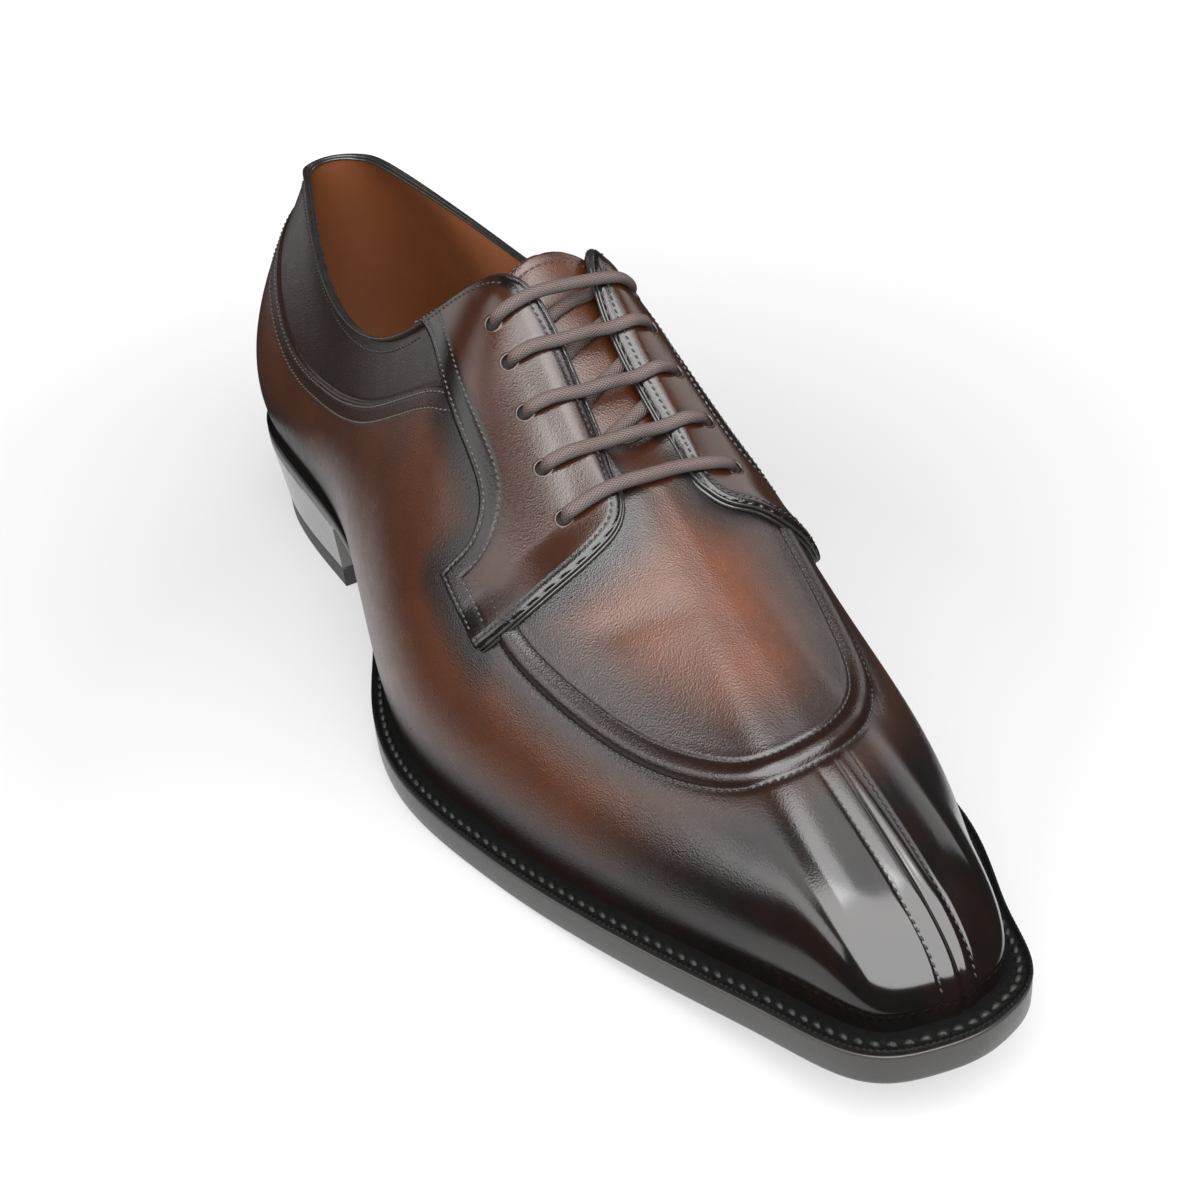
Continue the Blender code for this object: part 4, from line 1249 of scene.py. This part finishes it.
def make_outsole():
    u, _ = loop_positions(900)
    low, high = outsole_bottom, over(welt_top, -BEAD)
    cut = smooth(outline(u, 0.0)[:, 0], HEEL_FRONT - 2, HEEL_FRONT + 4)
    rows = [(-3.0, low), (-1.3 * cut, low), (-0.55 * cut, over(low, 0.18)), (-0.15 * cut, over(low, 0.65)),
            (0.02, over(low, 1.3)), (0.08, lambda x: 0.5 * (low(x) + high(x))), (0.02, over(high, -1.0)),
            (-0.06, over(high, -0.45)), (-0.2, over(high, -0.2)), (-0.5, over(high, -0.1))]
    ring = edge_ring(u, rows)
    sole = make("sole_edge", ring, grid_faces(len(rows), len(u), closed=True), SOLE_LOOK, "sole_leather")
    half = np.linspace(0, 0.5, 320)
    sheet = ladder(half, -2.9, low, 41)
    make("tread", sheet, grid_faces(*sheet.shape[:2]), TREAD_LOOK, "sole_leather")
    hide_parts("outsole")
    line = edge_ring(u, [(-0.4, over(high, -0.25)), (-0.14, over(high, -0.12)), (-0.14, over(high, 0.06)),
                         (-0.4, over(high, 0.2))])
    make("sole_seam", line, grid_faces(4, len(u), closed=True), SEAM_LOOK, "sole_leather")


WELT_STITCH, WELT_STITCH_LONG, WELT_STITCH_RADIUS = 3.0, 2.5, 0.68
WELT_ROW = 2.3          # the welt's stitch row, from its edge
WHEEL = 1.25            # pitch of the wheel marks on the bead
BEAD_IN, BEAD_HALF, BEAD_HIGH, WHEEL_HIGH = 0.45, 0.75, 0.20, 0.34
STITCH_DENT, LINE_DENT = 0.35, 0.2      # depths of the dents at the stitches and along the bead
WELT_START = 0.19       # loop position where the stitch row starts, behind the ball
WELT_SHARES = (-0.3, 0.0, 0.12, 0.24, 0.34, 0.42, 0.50, 0.58, 0.66, 0.74, 0.80, 0.85, 0.90, 0.94, 0.975, 1.0)


def make_welt():
    u, run = loop_positions(2600)
    edge = sole_edge(u)
    wide = np.maximum(edge, 0.4)
    shown = smooth(edge, 2.5, 4.5)
    loops = []
    for share in WELT_SHARES:
        inward = wide * (1 - share)
        flat = outline(u, edge - inward)
        wheel = np.abs(np.cos(np.pi * (run - 0.3 * inward) / WHEEL))
        bead = bump(inward, BEAD_IN, BEAD_HALF) * (BEAD_HIGH + WHEEL_HIGH * wheel)
        pull = 0.5 + 0.5 * np.cos(2 * np.pi * (run + 0.5 * inward) / WELT_STITCH)
        dents = STITCH_DENT * bump(inward, WELT_ROW, 1.3) * pull + LINE_DENT * bump(inward, 1.2, 0.4)
        loops.append(lifted(flat, welt_top(flat[:, 0]) + shown * (bead - dents) - 0.3 * (share == 1.0)))
    for reach, drop in ((0.04, 0.5), (0.0, BEAD - 0.15), (-0.12, BEAD), (-0.5, BEAD), (-3.0, BEAD)):
        flat = outline(u, edge + reach)
        loops.append(lifted(flat, welt_top(flat[:, 0]) - drop))
    faces = grid_faces(len(loops), len(u), closed=True, flip=True)
    welt = make("welt_strip", np.array(loops), faces, WELT_LOOK, "welt_leather")
    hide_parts("welt")
    keep = half_way(u) > WELT_START
    flat = outline(u[keep], edge[keep] - WELT_ROW)
    line = lifted(flat, welt_top(flat[:, 0]) + 0.02)
    stitches = stitch_row(line, np.tile([0.0, 0.0, 1.0], (len(line), 1)), WELT_STITCH, WELT_STITCH_LONG,
                          WELT_STITCH_RADIUS, -STITCH_SLANT)
    make("welt_stitches", *stitches, WELT_THREAD, "welt_leather")


HEEL_FRONT = 77.0
TOP_PIECE_HIGH = 6.0
HEEL_BACK_PITCH, HEEL_SIDE_PITCH = 5.5, 1.0     # how far the heel draws in from top to bottom
HEEL_SIDE_POINTS, BREAST_POINTS, BREAST_HOLLOW = 110, 24, 1.1
HEEL_LAYERS, LAYER_ROWS = 5, 6


def breast_position(side):
    u = np.linspace(0, 0.19, 2000)
    u = u if side < 0 else 1 - u
    return u[np.argmin(np.abs(outline(u, sole_edge(u))[:, 0] - HEEL_FRONT))]


def heel_outline(share):
    """One level of the heel: round the back, then across the hollowed breast."""
    count = HEEL_SIDE_POINTS
    lateral, medial = np.linspace(0, breast_position(-1), count), np.linspace(breast_position(1), 1, count)
    u = np.concatenate([lateral, medial[:-1]])
    forward = np.clip(outline(u, 0)[:, 0] / HEEL_FRONT, 0, 1)
    pitch = HEEL_SIDE_PITCH + (HEEL_BACK_PITCH - HEEL_SIDE_PITCH) * (1 - forward)**2
    flat = outline(u, sole_edge(u) - share * pitch)
    flat[count - 1:count + 1, 0] = HEEL_FRONT
    mix = np.linspace(0, 1, BREAST_POINTS + 2)[1:-1]
    breast = bridge(flat[count - 1:count], flat[count:count + 1], mix)[0]
    breast[:, 0] -= BREAST_HOLLOW * (1 - (2 * mix - 1)**2)
    return np.concatenate([flat[:count], breast, flat[count:]])


def inset(flat, by):
    """A loop drawn in by a distance, about its own middle."""
    middle = flat.mean(0)
    arm = flat - middle
    far = np.linalg.norm(arm, axis=1)[:, None]
    return middle + arm * (1 - by / far)


def heel_cap(loop):
    """A sheet across the heel's lowest loop, lateral to medial, that faces down."""
    medial = np.concatenate([loop[:1], loop[:len(loop) - HEEL_SIDE_POINTS:-1]])
    sheet = bridge(loop[:HEEL_SIDE_POINTS], medial, np.linspace(0, 1, 21))
    return sheet, grid_faces(*sheet.shape[:2], flip=True)


def make_heel():
    def level(share, draw_in, height):
        flat = inset(heel_outline(share), draw_in) if draw_in else heel_outline(share)
        z = height(flat[:, 0]) if callable(height) else np.full(len(flat), height)
        return lifted(flat, z)
    loops = [level(1.0, 1.2, 0.0), level(1.0, 0.5, 0.05), level(1.0, 0.1, 0.45)]
    for high in np.linspace(0.9, TOP_PIECE_HIGH - 0.5, 6):
        loops.append(level(1.0 - 0.1 * high / TOP_PIECE_HIGH, 0.0, high))
    loops += [level(0.9, 0.15, TOP_PIECE_HIGH - 0.15), level(0.9, 0.6, TOP_PIECE_HIGH)]
    side = (np.array(loops), grid_faces(len(loops), len(loops[0]), closed=True))
    piece = make("heel_top_lift", *joined([side, heel_cap(loops[0])]), RUBBER_LOOK, "heel_rubber", sharp=50)
    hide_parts("heel_top_piece")

    seat = over(outsole_bottom, -GAP)
    start = TOP_PIECE_HIGH + 0.1
    loops = []
    for k in range(HEEL_LAYERS * LAYER_ROWS + 1):
        share = k / (HEEL_LAYERS * LAYER_ROWS)
        groove = 0.05 if k % LAYER_ROWS == 0 else 0.0
        loops.append(level(0.88 * (1 - share), groove, lambda x, s=share: start + s * (seat(x) - start)))
    heel = make("heel_stack", np.array(loops), grid_faces(len(loops), len(loops[0]), closed=True), HEEL_LOOK,
                "sole_leather", sharp=50)
    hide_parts("heel")


def make_sock():
    """The sock on the insole, turned up a little where it meets the lining."""
    half = np.linspace(0, 0.5, 260)
    across = np.sin(np.linspace(-np.pi / 2, np.pi / 2, 61))
    flat = bridge(outline(half, -WALL - 0.2), outline(1 - half, -WALL - 0.2), (across + 1) / 2)
    lift = 0.9 * smooth(np.abs(across), 0.80, 1.0)[None, :]
    sheet = lifted(flat, profile(flat[..., 0], "feather_z") + INSOLE_THICK + 0.1 + lift)
    sock = make("sock", sheet, grid_faces(*sheet.shape[:2], flip=True), LINING, "lining_leather")
    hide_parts("insole")


make_shell()
for side in (-1, 1):
    make_facing(side)
make_edges()
make_eyelets()
make_stitches()
make_vamp_stitches()
make_tongue()
make_lace()
make_outsole()
make_welt()
make_heel()
make_sock()

# Camera, floor and light

CAMERA_AZIMUTH, CAMERA_RISE, CAMERA_ROLL = -25.7, 32.3, -4.7
CAMERA_FAR = 409.0
CAMERA_TARGET = (160.0, 5.75, 26.8)
IMAGE_HALF, FOCAL = 600.0, 1748.0


def stand(name, data, right, up, back, place):
    """An object in the scene, from its own axes and its place."""
    made = bpy.data.objects.new(name, data)
    bpy.context.scene.collection.objects.link(made)
    made.matrix_world = Matrix([[right[i], up[i], back[i], place[i]] for i in range(3)] + [[0, 0, 0, 1]])
    return made


def add_camera():
    az, rise, roll = np.radians([CAMERA_AZIMUTH, CAMERA_RISE, CAMERA_ROLL])
    back = np.array([np.cos(rise) * np.cos(az), np.cos(rise) * np.sin(az), np.sin(rise)])
    right = unit(np.cross(-back, [0, 0, 1]))
    up = np.cross(right, -back)
    side = np.cos(roll) * right + np.sin(roll) * up
    top = -np.sin(roll) * right + np.cos(roll) * up
    data = bpy.data.cameras.new("camera")
    data.sensor_fit = "HORIZONTAL"
    data.angle = 2 * np.arctan(IMAGE_HALF / FOCAL)
    data.clip_start = 0.01
    place = to_world(np.array(CAMERA_TARGET) + CAMERA_FAR * back)[0]
    bpy.context.scene.camera = stand("camera", data, side, top, back, place)


# Soft lights in metres, each a rectangle that faces its target
Light = namedtuple("Light", "name place target wide high radiance")
LIGHTS = [
    Light("soft front", (0.445, -0.217, 0.381), (0.298, -0.174, 0.011), 1.10, 0.74, 8.0),
    Light("soft left", (-0.09, -0.78, 0.22), (0.06, 0.0, 0.04), 0.50, 0.22, 4.2),
    Light("soft rear left", (-0.25, -0.74, 0.56), (0.06, 0.0, 0.04), 0.42, 0.36, 2.4),
    Light("soft top", (0.070, -0.04, 0.56), (0.070, -0.04, 0.0), 0.22, 0.26, 7.5),
    Light("soft top right", (0.060, 0.18, 0.56), (0.060, 0.18, 0.0), 0.28, 0.18, 2.6),
    Light("soft back left", (-1.05, -0.36, 0.21), (-0.10, -0.02, 0.06), 0.50, 0.34, 0.9),
    Light("soft right", (-0.22, 0.87, 0.58), (0.06, 0.0, 0.05), 0.60, 0.60, 1.8),
]


def add_light(light):
    data = bpy.data.lights.new(light.name, "AREA")
    data.shape = "RECTANGLE"
    data.size, data.size_y = light.wide, light.high
    data.energy = light.radiance * np.pi * light.wide * light.high
    back = unit(np.array(light.place) - np.array(light.target))
    right = np.cross([0, 0, 1], back)
    right = unit(right) if np.linalg.norm(right) > 1e-6 else np.array([1.0, 0, 0])
    stand(light.name, data, right, np.cross(back, right), back, light.place)


FLOOR_FAR = 4.0
PAD_LONG, PAD_WIDE = 0.195, 0.085       # half sizes of the floor's middle, which the shoe mirrors
FLOOR_SIDES = 96
FLOOR_GREY = (0.15, 0.17)
GLOW_NEAR, GLOW_FAR = (0.12, 0.50), (0.45, 1.0)         # distance from the middle, and glow
SKY_GLOW = 0.05


def floor_material():
    """Pale and plain, with a glow that rises from the shoe to the far edge."""
    g = Graph("floor")
    grey = g.spread(g.noise(3.0, 2.0), 0.0, 1.0, *FLOOR_GREY, "LINEAR")
    tint = g.node("CombineColor", {}, {0: grey, 1: grey, 2: grey}).outputs[0]
    far = g.node("VectorMath", {"operation": "LENGTH"}, {0: g.place}).outputs["Value"]
    g.surface(Base_Color=tint, Roughness=0.9, Specular_IOR_Level=0.1, Emission_Color=(1.0, 1.0, 1.0),
              Emission_Strength=g.spread(far, GLOW_NEAR[0], GLOW_FAR[0], GLOW_NEAR[1], GLOW_FAR[1], "LINEAR"))
    return g.material


def add_floor():
    """A plain pale floor; only its middle is mirrored in the shoe."""
    look = floor_material()
    turn = np.linspace(0, 2 * np.pi, FLOOR_SIDES, endpoint=False)
    circle = np.stack([np.cos(turn), np.sin(turn), 0 * turn], axis=-1)
    inner = circle * [PAD_LONG, PAD_WIDE, 0]
    ring = [tuple(q) for q in grid_faces(2, FLOOR_SIDES, closed=True, flip=True)]
    for name, points, faces, mirrored in (
            ("floor", np.concatenate([inner, circle * FLOOR_FAR]), ring, False),
            ("floor_middle", inner, [tuple(range(FLOOR_SIDES))], True)):
        mesh = bpy.data.meshes.new(name)
        mesh.from_pydata([tuple(q) for q in points], [], faces)
        mesh.materials.append(look)
        floor = bpy.data.objects.new(name, mesh)
        bpy.context.scene.collection.objects.link(floor)
        floor.visible_glossy = mirrored


add_camera()
add_floor()
for light in LIGHTS:
    add_light(light)
world = bpy.data.worlds.new("studio")
world.use_nodes = True
sky = world.node_tree.nodes["Background"]
sky.inputs["Color"].default_value = (1.0, 1.0, 1.0, 1.0)
sky.inputs["Strength"].default_value = SKY_GLOW
bpy.context.scene.world = world
bpy.context.scene.view_settings.view_transform = "Standard"
